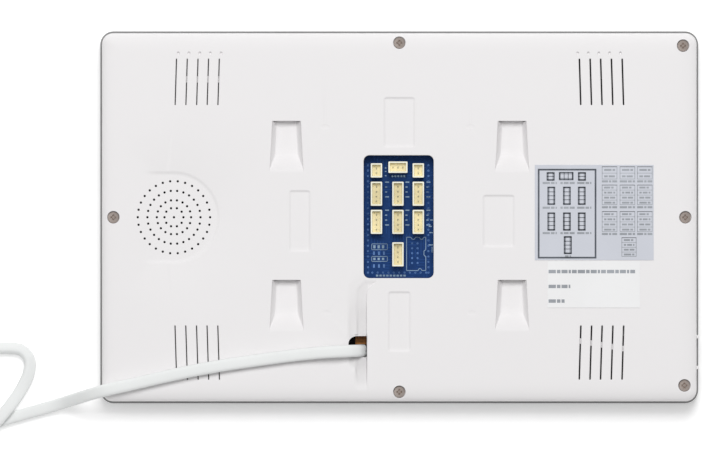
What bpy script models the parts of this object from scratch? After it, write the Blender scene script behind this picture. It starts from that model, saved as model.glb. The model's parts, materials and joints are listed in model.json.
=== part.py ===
"""Wall monitor of a video intercom, lying face down on its front glass, with its mains lead.

Units are metres. +Z points out of the back, +Y to the unit's top, and +X to the right as seen
from behind. The origin is the middle of the front glass's outer face.
"""

import math

import bmesh
import bpy
import numpy as np
from mathutils import Matrix, Vector

MM = 0.001
CLEARANCE = 0.3 * MM
OVERCUT = 1.0 * MM
MERGE = 0.00001

# Housing
BODY_WIDTH = 262.0 * MM
BODY_HEIGHT = 163.0 * MM
BODY_DEPTH = 22.0 * MM
CORNER_RADIUS = 5.8 * MM
RIM = 1.0 * MM
FRAME_DEPTH = 8.5 * MM
FRAME_WALL = 3.5 * MM
GLASS_LIP = 1.3 * MM
SHELF_THICKNESS = 1.6 * MM
COVER_WALL = 2.2 * MM
CROWN_WIDTH = 10.0 * MM
CROWN_DROP = 4.4 * MM
CROWN_POWER = 3.0
CROWN_CORNER = 9.0 * MM
CROWN_STEPS = (0.0, 0.06, 0.18, 0.4, 0.7, 1.0)
ROOT_INTO_COVER = 0.8 * MM

# Display stack
GLASS_THICKNESS = 1.6 * MM
DISPLAY_WIDTH = 235.0 * MM
DISPLAY_HEIGHT = 143.0 * MM
CELL_THICKNESS = 1.2 * MM
GUIDE_THICKNESS = 2.2 * MM
PLATE_THICKNESS = 0.6 * MM
DISPLAY_PLAY = 0.5 * MM

# Hook pockets, each under a lip at its top end and with a ramp at its lower end
POCKET_X = 49.3 * MM
POCKET_TOPS = (42.1 * MM, -27.4 * MM)
POCKET_WIDTH = 12.6 * MM
POCKET_FLOOR_LENGTH = 15.0 * MM
POCKET_RAMP = 7.0 * MM
POCKET_DEPTH = 4.5 * MM
POCKET_UNDERCUT = 2.5 * MM
POCKET_LIP = 1.6 * MM
POCKET_WALL = 1.6 * MM

# Connector window and its skirt
WINDOW_LOW = (-15.6 * MM, -26.6 * MM)
WINDOW_HIGH = (15.0 * MM, 27.1 * MM)
WINDOW_RADIUS = 2.5 * MM
SKIRT_WALL = 1.3 * MM
SKIRT_GAP = 0.8 * MM

# Cable groove, lead hole and run-out
GROOVE_LEFT = -23.0 * MM
GROOVE_RIGHT = -14.0 * MM
GROOVE_DEPTH = 2.4 * MM
GROOVE_BEND = 6.2 * MM
GROOVE_WALL = 1.4 * MM
HOLE_TOP = -52.0 * MM
HOLE_BOTTOM = -61.2 * MM
HOLE_CHAMFER = 3.4 * MM
RUN_OUT_END = -75.4 * MM
RUN_OUT_DEPTH = 2.4 * MM

# Vent slots
VENT_INNER_X = 79.0 * MM
VENT_PITCH = 4.67 * MM
VENT_COUNT = 5
VENT_WIDTH = 1.0 * MM
VENT_SPANS_ABOVE = ((49.0 * MM, 69.3 * MM), (70.9 * MM, 72.3 * MM))
VENT_SPANS_BELOW = ((47.3 * MM, 71.0 * MM),)

# Loudspeaker and its grille
SPEAKER_FROM_EDGE = 32.5 * MM
SPEAKER_RADIUS = 20.0 * MM
SPEAKER_FLANGE = 2.2 * MM
SPEAKER_COLLAR = 1.4 * MM
SPEAKER_COLLAR_DEPTH = 4.0 * MM
CONE_TRAVEL = 0.5 * MM
CONE_SKIN = 0.5 * MM
GASKET_THICKNESS = 0.8 * MM
GRILLE_HOLE_RADIUS = 0.58 * MM
GRILLE_RINGS = ((4.14 * MM, 10), (7.48 * MM, 18), (11.6 * MM, 26), (15.8 * MM, 30))

# Shallow recesses in the back: low corner, high corner
RECESSES = (
    ((-7.2 * MM, 29.9 * MM), (7.2 * MM, 52.8 * MM)),
    ((-5.3 * MM, -59.1 * MM), (5.3 * MM, -32.1 * MM)),
    ((-48.5 * MM, -15.4 * MM), (-38.5 * MM, 12.1 * MM)),
    ((36.1 * MM, -13.4 * MM), (50.7 * MM, 10.1 * MM)),
)
RECESS_DEPTH = 0.5 * MM
RECESS_RADIUS = 1.2 * MM

# Screws. Case screws are placed by their distance in from the left or right edge and from the
# top or bottom edge; None means on the middle line.
CASE_SCREWS = (
    ("top", 0, None, 1, 5.2 * MM),
    ("bottom", 0, None, -1, 5.2 * MM),
    ("left", -1, 6.0 * MM, 0, None),
    ("right", 1, 6.0 * MM, 0, None),
    ("top_right", 1, 7.0 * MM, 1, 6.5 * MM),
    ("bottom_right", 1, 6.4 * MM, -1, 8.0 * MM),
)
HEAD_RADIUS = 2.4 * MM
HEAD_HEIGHT = 1.5 * MM
HEAD_SEAT_DEPTH = 2.8 * MM
SHANK_RADIUS = 1.25 * MM
SHANK_BITE = 4.0 * MM
SLOT_WIDTH = 0.7 * MM
SLOT_LENGTH = 3.0 * MM
SLOT_DEPTH = 0.8 * MM
BOSS_RADIUS = 3.6 * MM
FRAME_BOSS_TOP = 8.4 * MM
BOARD_SCREW_RADIUS = 1.0 * MM
BOARD_SCREW_LENGTH = 4.0 * MM
BOARD_HEAD_RADIUS = 1.9 * MM
BOARD_HEAD_HEIGHT = 1.1 * MM
POST_RADIUS = 2.4 * MM

# Main board, measured down from the back's outer face
MAIN_BOARD_SETBACK = 8.5 * MM
MAIN_BOARD_LOW = (-62.0 * MM, -31.0 * MM)
MAIN_BOARD_HIGH = (45.0 * MM, 45.0 * MM)
BOARD_THICKNESS = 1.6 * MM
MAIN_BOARD_POSTS = ((-58.5 * MM, 5.0 * MM), (41.5 * MM, 14.5 * MM), (0.0, 41.5 * MM))
PROCESSOR_CENTRE = (-29.0 * MM, 2.0 * MM)
PROCESSOR_SIZE = 14.0 * MM
CHIP_HEIGHT = 1.2 * MM
SINK_SIZE = 20.0 * MM
SINK_BASE = 1.0 * MM
SINK_FINS = 6
SINK_FIN_WIDTH = 1.0 * MM
SINK_HEIGHT = 3.8 * MM
MEMORY_CENTRE = (-28.0 * MM, 28.0 * MM)
MEMORY_SIZE = (11.0 * MM, 8.0 * MM)
BOARD_CAPACITOR_CENTRE = (28.0 * MM, 30.0 * MM)
BOARD_CAPACITOR_RADIUS = 3.15 * MM
BOARD_CAPACITOR_HEIGHT = 5.4 * MM

# Wire-to-board headers: name, centre, number of ways, and whether they lie across the board
HEADERS = (
    ("header_top_left", (-10.0 * MM, 20.5 * MM), 2, False),
    ("header_top_middle", (-0.6 * MM, 21.9 * MM), 3, True),
    ("header_top_right", (8.3 * MM, 20.5 * MM), 2, False),
    ("header_upper_left", (-10.0 * MM, 10.3 * MM), 4, False),
    ("header_upper_middle", (-0.6 * MM, 10.3 * MM), 4, False),
    ("header_upper_right", (8.3 * MM, 10.3 * MM), 4, False),
    ("header_lower_left", (-10.0 * MM, -2.0 * MM), 4, False),
    ("header_lower_middle", (-0.6 * MM, -2.0 * MM), 4, False),
    ("header_lower_right", (8.3 * MM, -2.0 * MM), 4, False),
    ("header_bottom", (-0.6 * MM, -16.2 * MM), 4, False),
)
HEADER_PITCH = 2.15 * MM
HEADER_END = 4.1 * MM
HEADER_WIDTH = 5.0 * MM
HEADER_HEIGHT = 6.0 * MM
HEADER_WALL = 0.75 * MM
HEADER_FLOOR = 1.2 * MM
PIN_WIDTH = 0.5 * MM
PIN_HEIGHT = 4.6 * MM

# Supply board, measured down from the back's outer face
SUPPLY_BOARD_SETBACK = 12.4 * MM
SUPPLY_BOARD_LOW = (-19.2 * MM, -71.0 * MM)
SUPPLY_BOARD_HIGH = (58.0 * MM, -34.5 * MM)
SUPPLY_BOARD_POSTS = ((3.0 * MM, -66.0 * MM), (53.0 * MM, -66.0 * MM))
TRANSFORMER_LOW = (24.0 * MM, -66.5 * MM)
TRANSFORMER_HIGH = (39.0 * MM, -51.5 * MM)
TRANSFORMER_HEIGHT = 8.0 * MM
BULK_CENTRE = (14.0 * MM, -44.5 * MM)
BULK_RADIUS = 4.2 * MM
BULK_LENGTH = 18.0 * MM
OUTPUT_CENTRE = (49.0 * MM, -57.5 * MM)
OUTPUT_RADIUS = 3.15 * MM
OUTPUT_HEIGHT = 7.0 * MM
ANCHOR_SIZE = (5.6 * MM, 5.4 * MM, 1.6 * MM)

# Memory card, its socket and the small board that carries the socket
CARD_Y = -59.0 * MM
CARD_LENGTH = 15.0 * MM
CARD_WIDTH = 11.0 * MM
CARD_THICKNESS = 0.8 * MM
CARD_FROM_EDGE = 1.6 * MM
CARD_PLAY = 0.35 * MM
SOCKET_SKIN = 0.5 * MM
SOCKET_LENGTH = 15.0 * MM
SOCKET_SIDE = 1.4 * MM
CARD_BOARD_THICKNESS = 0.9 * MM
CARD_BOARD_LENGTH = 21.0 * MM
CARD_BOARD_WIDTH = 19.0 * MM
CARD_POST_FROM_SOCKET = 3.0 * MM
CARD_SLOT_WIDTH = 12.0 * MM
CARD_SLOT_HEIGHT = 2.0 * MM
TAB_WIDTH = 1.5 * MM

# Microphone, labels, ribbons and leads inside
MICROPHONE_X = 60.0 * MM
MICROPHONE_RADIUS = 2.5 * MM
MICROPHONE_HEIGHT = 2.2 * MM
LABEL_GAP = 0.1 * MM
LABEL_THICKNESS = 0.15 * MM
WIRING_LABEL = ((59.2 * MM, -18.7 * MM), (111.1 * MM, 22.9 * MM))
RATING_LABEL = ((64.8 * MM, -39.5 * MM), (105.1 * MM, -19.1 * MM))
RIBBON_THICKNESS = 0.3 * MM
RIBBON_WIDTH = 18.0 * MM
RIBBON_X = 28.0 * MM
CARD_RIBBON_WIDTH = 6.0 * MM
WIRE_RADIUS = 0.6 * MM

# Mains lead: a flat twin lead, drawn as a round tube of its thickness
LEAD_WIDTH = 5.4 * MM
LEAD_THICKNESS = 3.8 * MM
LEAD_START = (-16.2 * MM, -58.3 * MM)
LEAD_POINT_SPACING = 5.6 * MM
LEAD_ROUTE = tuple(
    (x * MM, y * MM, z * MM)
    for x, y, z in (
        (-16.2, -58.3, 12.0),
        (-16.2, -58.3, 15.2),
        (-16.5, -58.3, 18.2),
        (-17.6, -58.3, 21.1),
        (-19.9, -58.35, 23.6),
        (-23.6, -58.5, 25.2),
        (-28.8, -58.7, 25.7),
        (-36.5, -59.3, 25.0),
        (-46.0, -60.3, 24.3),
        (-58.0, -61.9, 24.2),
        (-74.0, -64.2, 24.2),
        (-90.0, -67.0, 24.2),
        (-104.0, -70.0, 24.2),
        (-115.0, -72.5, 24.2),
        (-123.0, -74.3, 24.2),
        (-128.6, -75.6, 23.3),
        (-133.8, -77.0, 20.2),
        (-138.2, -78.4, 15.4),
        (-142.6, -79.8, 10.0),
        (-147.2, -81.3, 5.4),
        (-152.4, -82.9, 3.2),
        (-158.0, -84.5, 2.8),
        (-166.0, -86.7, 2.8),
        (-177.0, -89.9, 2.8),
        (-186.0, -93.0, 2.8),
        (-196.0, -96.5, 2.8),
        (-206.0, -99.9, 2.8),
        (-215.8, -103.3, 2.8),
        (-221.2, -107.4, 2.8),
        (-223.2, -113.7, 2.8),
        (-221.2, -120.0, 2.8),
        (-216.0, -124.0, 2.8),
        (-209.4, -124.3, 2.8),
        (-203.9, -120.9, 2.8),
        (-197.3, -113.4, 3.0),
        (-190.8, -105.8, 4.6),
        (-184.2, -98.3, 6.6),
        (-177.0, -90.0, 7.2),
        (-172.8, -85.2, 6.8),
        (-168.8, -80.2, 5.6),
        (-165.2, -74.4, 3.8),
        (-162.4, -68.2, 3.2),
        (-162.2, -62.4, 2.8),
        (-165.4, -58.4, 2.8),
        (-170.8, -57.4, 2.8),
        (-177.4, -57.6, 2.8),
        (-185.0, -58.6, 2.8),
        (-193.2, -60.1, 2.8),
        (-201.2, -60.7, 2.9),
    )
)
COIL_CENTRE = (-220.0 * MM, -25.0 * MM)
COIL_LAYERS = 2
COIL_ABREAST = 3
COIL_MIDDLE_RADIUS = 30.0 * MM
COIL_RADIAL_PITCH = 5.7 * MM
COIL_LAYER_PITCH = 4.0 * MM
TIE_THICKNESS = 0.6 * MM
TIE_WIDTH = 7.0 * MM
TIE_ANGLE = math.radians(25)
TAIL_LENGTH = 20.0 * MM
TAIL_HEIGHT = 6.9 * MM
PLUG_RELIEF_LENGTH = 14.0 * MM
PLUG_RELIEF_RADIUS = 3.4 * MM
PLUG_LENGTH = 32.0 * MM
PLUG_WIDTH = 29.0 * MM
PLUG_DEPTH = 13.4 * MM
PLUG_NOSE_WIDTH = 27.0 * MM
PIN_SPACING = 18.6 * MM
PLUG_PIN_RADIUS = 2.0 * MM
PLUG_PIN_LENGTH = 19.0 * MM
PLUG_PIN_ROOT = 0.5 * MM

# Heights that several pieces share
COVER_INNER = BODY_DEPTH - COVER_WALL
COVER_BASE = FRAME_DEPTH + CLEARANCE
ROOT_TOP = COVER_INNER + ROOT_INTO_COVER
SHELF_LOW = GLASS_THICKNESS + CLEARANCE
SHELF_HIGH = SHELF_LOW + SHELF_THICKNESS
PILOT_LOW = SHELF_HIGH + OVERCUT
MAIN_BOARD_TOP = BODY_DEPTH - MAIN_BOARD_SETBACK
SUPPLY_BOARD_TOP = BODY_DEPTH - SUPPLY_BOARD_SETBACK
COVER_WIDTH = BODY_WIDTH - 2 * RIM
COVER_HEIGHT = BODY_HEIGHT - 2 * RIM
SPEAKER_X = SPEAKER_FROM_EDGE - BODY_WIDTH / 2
HEAD_SEAT = BODY_DEPTH - HEAD_SEAT_DEPTH
SHANK_LENGTH = HEAD_SEAT - FRAME_BOSS_TOP + SHANK_BITE

# Memory card levels, counted down from the main board's top face
SOCKET_TOP = MAIN_BOARD_TOP - CARD_BOARD_THICKNESS - CLEARANCE
CARD_TOP = SOCKET_TOP - SOCKET_SKIN - CARD_PLAY
CARD_MIDDLE = CARD_TOP - CARD_THICKNESS / 2
SOCKET_LOW = CARD_TOP - CARD_THICKNESS - CARD_PLAY - SOCKET_SKIN
CARD_OUTER_X = BODY_WIDTH / 2 - CARD_FROM_EDGE
SOCKET_OUTER_X = COVER_WIDTH / 2 - COVER_WALL - CLEARANCE
SOCKET_INNER_X = SOCKET_OUTER_X - SOCKET_LENGTH
SOCKET_HALF_WIDTH = CARD_WIDTH / 2 + CARD_PLAY + SOCKET_SIDE
CARD_POST = (SOCKET_INNER_X - CARD_POST_FROM_SOCKET, CARD_Y)

# Finishes: colour, roughness, metallic
WHITE_PLASTIC = ((0.84, 0.83, 0.835), 0.5, 0.0)
IVORY_PLASTIC = ((0.86, 0.80, 0.58), 0.45, 0.0)
BLACK_PLASTIC = ((0.02, 0.02, 0.022), 0.45, 0.0)
LEAD_PVC = ((0.80, 0.81, 0.81), 0.42, 0.0)
GREY_METALLIC = ((0.34, 0.34, 0.34), 0.35, 0.6)
BLACK_GLASS = ((0.01, 0.01, 0.012), 0.06, 0.0)
CLEAR_ACRYLIC = ((0.85, 0.88, 0.9), 0.15, 0.0)
ZINC_STEEL = ((0.55, 0.56, 0.57), 0.38, 1.0)
BLACK_STEEL = ((0.03, 0.03, 0.032), 0.45, 0.0)
WARM_NICKEL = ((0.46, 0.40, 0.36), 0.32, 1.0)
SATIN_ALUMINIUM = ((0.70, 0.71, 0.72), 0.35, 1.0)
NAVY_BOARD = ((0.012, 0.03, 0.11), 0.4, 0.0)
BROWN_BOARD = ((0.28, 0.12, 0.04), 0.55, 0.0)
GREEN_BOARD = ((0.02, 0.12, 0.05), 0.4, 0.0)
CHIP_EPOXY = ((0.03, 0.03, 0.032), 0.6, 0.0)
YELLOW_TAPE = ((0.75, 0.55, 0.08), 0.4, 0.0)
SLEEVE_BLUE = ((0.04, 0.07, 0.2), 0.4, 0.0)
CONE_PAPER = ((0.05, 0.05, 0.055), 0.8, 0.0)
BLACK_FOAM = ((0.03, 0.03, 0.03), 0.95, 0.0)
FILM_ORANGE = ((0.55, 0.26, 0.05), 0.4, 0.0)
FILM_WHITE = ((0.8, 0.8, 0.8), 0.45, 0.0)
LABEL_GREY = ((0.60, 0.63, 0.66), 0.55, 0.0)
LABEL_WHITE = ((0.88, 0.88, 0.88), 0.5, 0.0)
WIRE_RED = ((0.5, 0.03, 0.02), 0.45, 0.0)


def clear_scene():
    """Remove every object, so that the script starts from nothing."""
    for item in list(bpy.data.objects):
        bpy.data.objects.remove(item, do_unlink=True)


def collection(name):
    """Return a new collection in the scene."""
    made = bpy.data.collections.new(name)
    bpy.context.scene.collection.children.link(made)
    return made


def principled(name, finish):
    """Return a Principled material of one finish."""
    colour, roughness, metallic = finish
    material = bpy.data.materials.new(name)
    material.use_nodes = True
    shader = material.node_tree.nodes["Principled BSDF"]
    shader.inputs["Base Color"].default_value = (*colour, 1.0)
    shader.inputs["Roughness"].default_value = roughness
    shader.inputs["Metallic"].default_value = metallic
    return material


def add_box(bm, low, high, radius=0.0, segments=3):
    """Add a box to bm between two corners; radius rounds its upright edges."""
    low, high = Vector(low), Vector(high)
    place = Matrix.Translation((low + high) / 2) @ Matrix.Diagonal((*(high - low), 1.0))
    fresh = set(bmesh.ops.create_cube(bm, size=1.0, matrix=place)["verts"])
    if radius > 0.0:
        upright = [
            edge
            for edge in bm.edges
            if fresh.issuperset(edge.verts) and abs(edge.verts[0].co.z - edge.verts[1].co.z) > MERGE
        ]
        bmesh.ops.bevel(
            bm, geom=upright, offset=radius, segments=segments, profile=0.5, affect="EDGES"
        )


def add_cylinder(bm, centre, radius, low, high, sides=16):
    """Add an upright cylinder to bm."""
    bmesh.ops.create_cone(
        bm,
        cap_ends=True,
        segments=sides,
        radius1=radius,
        radius2=radius,
        depth=high - low,
        matrix=Matrix.Translation((centre[0], centre[1], (low + high) / 2)),
    )


def add_prism(bm, outline, low, high, axis="Z"):
    """Add a flat outline drawn out along an axis; the outline gives the other two coordinates."""
    place = {
        "X": lambda a, b: (low, a, b),
        "Y": lambda a, b: (a, low, b),
        "Z": lambda a, b: (a, b, low),
    }[axis]
    step = {"X": (high - low, 0, 0), "Y": (0, high - low, 0), "Z": (0, 0, high - low)}[axis]
    face = bm.faces.new([bm.verts.new(place(a, b)) for a, b in outline])
    drawn = bmesh.ops.extrude_face_region(bm, geom=[face])["geom"]
    moved = [item for item in drawn if isinstance(item, bmesh.types.BMVert)]
    bmesh.ops.translate(bm, verts=moved, vec=step)


def rounded_loop(width, height, radius, z, segments=4):
    """Return the points of a rounded rectangle, counter-clockwise from +X."""
    points = []
    for quarter, (side_x, side_y) in enumerate(((1, 1), (-1, 1), (-1, -1), (1, -1))):
        for step in range(segments + 1):
            angle = math.radians(90 * (quarter + step / segments))
            x = side_x * (width / 2 - radius) + radius * math.cos(angle)
            y = side_y * (height / 2 - radius) + radius * math.sin(angle)
            points.append((x, y, z))
    return points


def add_loft(bm, loops, open_start=False):
    """Join closed loops of equal length by quads and close the ends."""
    rows = [[bm.verts.new(point) for point in loop] for loop in loops]
    for lower, upper in zip(rows, rows[1:]):
        for i in range(len(lower)):
            j = (i + 1) % len(lower)
            bm.faces.new((lower[i], lower[j], upper[j], upper[i]))
    if not open_start:
        bm.faces.new(rows[0][::-1])
    bm.faces.new(rows[-1])


def strip_outline(path, thickness):
    """Return the outline of a flat strip of one thickness along a path in a plane."""
    points = np.array(path)
    along = np.gradient(points, axis=0)
    along /= np.linalg.norm(along, axis=1)[:, None]
    across = np.stack([-along[:, 1], along[:, 0]], axis=1) * thickness / 2
    return [tuple(p) for p in points + across] + [tuple(p) for p in (points - across)[::-1]]


def smooth_route(points, spacing):
    """Return points at an even spacing along a centripetal Catmull-Rom curve through points."""
    fixed = np.array(points)
    fixed = np.vstack([2 * fixed[0] - fixed[1], fixed, 2 * fixed[-1] - fixed[-2]])
    fine = []
    for a, b, c, d in zip(fixed, fixed[1:], fixed[2:], fixed[3:]):
        t0 = 0.0
        t1 = t0 + np.linalg.norm(b - a) ** 0.5
        t2 = t1 + np.linalg.norm(c - b) ** 0.5
        t3 = t2 + np.linalg.norm(d - c) ** 0.5
        for t in np.linspace(t1, t2, 12, endpoint=False):
            ab = (t1 - t) / (t1 - t0) * a + (t - t0) / (t1 - t0) * b
            bc = (t2 - t) / (t2 - t1) * b + (t - t1) / (t2 - t1) * c
            cd = (t3 - t) / (t3 - t2) * c + (t - t2) / (t3 - t2) * d
            abc = (t2 - t) / (t2 - t0) * ab + (t - t0) / (t2 - t0) * bc
            bcd = (t3 - t) / (t3 - t1) * bc + (t - t1) / (t3 - t1) * cd
            fine.append((t2 - t) / (t2 - t1) * abc + (t - t1) / (t2 - t1) * bcd)
    fine = np.vstack([fine, fixed[-2]])
    run = np.concatenate([[0.0], np.cumsum(np.linalg.norm(np.diff(fine, axis=0), axis=1))])
    stops = np.linspace(0.0, run[-1], round(run[-1] / spacing) + 1)
    return np.stack([np.interp(stops, run, fine[:, i]) for i in range(3)], axis=1)


class Model:
    """The object's collections, and the ways in which its pieces are put in them."""

    def __init__(self, name):
        self.parts = collection(name)
        self.cutters = collection("cutters")

    def piece(self, name, bm, finish, place=(0.0, 0.0, 0.0), smooth=None):
        """Add a node from bm; place is its origin, and smooth the angle of its sharp edges."""
        bmesh.ops.recalc_face_normals(bm, faces=bm.faces)
        bmesh.ops.translate(bm, verts=bm.verts, vec=-Vector(place))
        mesh = bpy.data.meshes.new(name)
        bm.to_mesh(mesh)
        bm.free()
        made = bpy.data.objects.new(name, mesh)
        made.location = place
        made.data.materials.append(principled(name, finish))
        self.parts.objects.link(made)
        if smooth is not None:
            mesh.shade_smooth()
            mesh.set_sharp_from_angle(angle=math.radians(smooth))
        return made

    def tool(self, name, bm):
        """Add a hidden shape that cuts or joins a node."""
        bmesh.ops.recalc_face_normals(bm, faces=bm.faces)
        mesh = bpy.data.meshes.new(name)
        bm.to_mesh(mesh)
        bm.free()
        made = bpy.data.objects.new(name, mesh)
        made.hide_render = True
        made.display_type = "WIRE"
        self.cutters.objects.link(made)
        return made

    def boolean(self, target, bm, operation):
        """Join bm's bodies to the target, or cut them from it."""
        tool = self.tool(f"{target.name}_{operation.lower()}", bm)
        modifier = target.modifiers.new(operation.lower(), "BOOLEAN")
        modifier.operation = operation
        modifier.solver = "EXACT"
        modifier.use_self = True
        modifier.object = tool

    def box(self, name, low, high, finish, radius=0.0):
        """Add a box as a node."""
        bm = bmesh.new()
        add_box(bm, low, high, radius)
        return self.piece(name, bm, finish)

    def cylinder(self, name, centre, radius, low, high, finish, sides=16):
        """Add an upright cylinder as a node."""
        bm = bmesh.new()
        add_cylinder(bm, centre, radius, low, high, sides)
        return self.piece(name, bm, finish, smooth=40)

    def turned(self, name, profile, place, finish, closed, steps=32):
        """Add a node turned about Z at place; profile is radius and height, outer side first."""
        bm = bmesh.new()
        verts = [bm.verts.new((radius, 0.0, height)) for radius, height in profile]
        for first, second in zip(verts, verts[1:]):
            bm.edges.new((first, second))
        if closed:
            bm.edges.new((verts[-1], verts[0]))
        mesh = bpy.data.meshes.new(name)
        bm.to_mesh(mesh)
        bm.free()
        made = bpy.data.objects.new(name, mesh)
        made.location = place
        made.data.materials.append(principled(name, finish))
        self.parts.objects.link(made)
        screw = made.modifiers.new("turned", "SCREW")
        screw.axis = "Z"
        screw.angle = math.tau
        screw.steps = steps
        screw.render_steps = steps
        screw.use_merge_vertices = True
        screw.merge_threshold = MERGE
        screw.use_smooth_shade = True
        return made

    def tube(self, name, points, radius, finish, resolution=2):
        """Add a round tube along points as a node."""
        curve = bpy.data.curves.new(name, "CURVE")
        curve.dimensions = "3D"
        curve.bevel_depth = radius
        curve.bevel_resolution = resolution
        curve.use_fill_caps = True
        spline = curve.splines.new("POLY")
        spline.points.add(len(points) - 1)
        for point, (x, y, z) in zip(spline.points, points):
            point.co = (x, y, z, 1.0)
        made = bpy.data.objects.new(name, curve)
        made.data.materials.append(principled(name, finish))
        self.parts.objects.link(made)
        return made


def case_screw_places():
    """Return the name and the centre of each case screw."""
    places = []
    for name, side_x, from_x, side_y, from_y in CASE_SCREWS:
        x = side_x * (BODY_WIDTH / 2 - from_x) if side_x else 0.0
        y = side_y * (BODY_HEIGHT / 2 - from_y) if side_y else 0.0
        places.append((name, (x, y)))
    return places


def board_posts():
    """Return the centre and the lower end of every post that hangs from the cover."""
    main = [(place, MAIN_BOARD_TOP) for place in MAIN_BOARD_POSTS]
    supply = [(place, SUPPLY_BOARD_TOP) for place in SUPPLY_BOARD_POSTS]
    return main + supply + [(CARD_POST, MAIN_BOARD_TOP)]


def crown_loops():
    """Return the loops of the cover's outer skin, from its base to the edge of its flat top."""
    base_radius = CORNER_RADIUS - RIM
    loops = [rounded_loop(COVER_WIDTH, COVER_HEIGHT, base_radius, COVER_BASE)]
    for step in CROWN_STEPS:
        rise = (1 - (1 - step) ** CROWN_POWER) ** (1 / CROWN_POWER)
        inset = CROWN_WIDTH * step
        radius = base_radius + (CROWN_CORNER - base_radius) * step
        height = BODY_DEPTH - CROWN_DROP * (1 - rise)
        loops.append(
            rounded_loop(COVER_WIDTH - 2 * inset, COVER_HEIGHT - 2 * inset, radius, height)
        )
    return loops


def groove_outline(margin):
    """Return the cable groove's outline, drawn out by margin on both sides."""
    left, right = GROOVE_LEFT - margin, GROOVE_RIGHT + margin
    corner_x, corner_y = WINDOW_LOW
    return [
        (left, HOLE_TOP),
        (right, HOLE_TOP),
        (right, corner_y - GROOVE_BEND),
        (right + GROOVE_BEND, corner_y),
        (right + GROOVE_BEND, corner_y + OVERCUT),
        (corner_x + OVERCUT, corner_y + GROOVE_BEND),
        (corner_x - OVERCUT, corner_y + GROOVE_BEND / 2),
        (left, corner_y + GROOVE_BEND / 2 - (corner_x - OVERCUT - left)),
    ]


def hole_outline():
    """Return the lead hole's outline, with its chamfered top left corner."""
    return [
        (GROOVE_LEFT + HOLE_CHAMFER, HOLE_TOP - OVERCUT / 10),
        (GROOVE_LEFT + OVERCUT, HOLE_TOP - HOLE_CHAMFER),
        (GROOVE_LEFT + OVERCUT, HOLE_BOTTOM),
        (GROOVE_RIGHT, HOLE_BOTTOM),
        (GROOVE_RIGHT, HOLE_TOP - OVERCUT / 10),
    ]


def pocket_outline(top):
    """Return a hook pocket's section in Y and Z, with its undercut and its ramp."""
    floor = BODY_DEPTH - POCKET_DEPTH
    ramp_low = top - POCKET_FLOOR_LENGTH
    over = OVERCUT * POCKET_RAMP / POCKET_DEPTH
    return [
        (top + POCKET_UNDERCUT, floor),
        (top + POCKET_UNDERCUT, BODY_DEPTH - POCKET_LIP),
        (top, BODY_DEPTH - POCKET_LIP),
        (top, BODY_DEPTH + OVERCUT),
        (ramp_low - POCKET_RAMP - over, BODY_DEPTH + OVERCUT),
        (ramp_low, floor),
    ]


def cover_joins():
    """Return what is moulded on to the cover's shell: tubs, skirt, collar, bosses, posts, tabs."""
    bm = bmesh.new()
    for side in (-1, 1):
        for top in POCKET_TOPS:
            half = POCKET_WIDTH / 2 + POCKET_WALL
            low = top - POCKET_FLOOR_LENGTH - POCKET_RAMP
            add_box(
                bm,
                (side * POCKET_X - half, low, BODY_DEPTH - POCKET_DEPTH - POCKET_WALL),
                (side * POCKET_X + half, top + POCKET_UNDERCUT + POCKET_WALL, ROOT_TOP),
            )
    add_box(
        bm,
        (WINDOW_LOW[0] - SKIRT_WALL, WINDOW_LOW[1] - SKIRT_WALL, MAIN_BOARD_TOP + SKIRT_GAP),
        (WINDOW_HIGH[0] + SKIRT_WALL, WINDOW_HIGH[1] + SKIRT_WALL, ROOT_TOP),
        WINDOW_RADIUS + SKIRT_WALL,
    )
    add_prism(bm, groove_outline(GROOVE_WALL), BODY_DEPTH - GROOVE_DEPTH - GROOVE_WALL, ROOT_TOP)
    add_box(
        bm,
        (GROOVE_LEFT - GROOVE_WALL, RUN_OUT_END, COVER_INNER - GROOVE_WALL),
        (GROOVE_RIGHT + GROOVE_WALL, HOLE_TOP + OVERCUT, ROOT_TOP - CLEARANCE),
    )
    add_cylinder(
        bm,
        (SPEAKER_X, 0.0),
        SPEAKER_RADIUS + CLEARANCE + SPEAKER_COLLAR,
        COVER_INNER - SPEAKER_COLLAR_DEPTH,
        ROOT_TOP,
        32,
    )
    for _, place in case_screw_places():
        add_cylinder(bm, place, BOSS_RADIUS, FRAME_BOSS_TOP + CLEARANCE, ROOT_TOP, 12)
    for place, low in board_posts():
        add_cylinder(bm, place, POST_RADIUS, low + CLEARANCE, ROOT_TOP, 10)
    for side in (-1, 1):
        middle = CARD_Y + side * (CARD_SLOT_WIDTH + TAB_WIDTH) / 2
        add_box(
            bm,
            (COVER_WIDTH / 2 - COVER_WALL / 2, middle - TAB_WIDTH / 2, COVER_BASE + CLEARANCE),
            (BODY_WIDTH / 2, middle + TAB_WIDTH / 2, BODY_DEPTH - CROWN_DROP),
        )
    return bm


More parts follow.
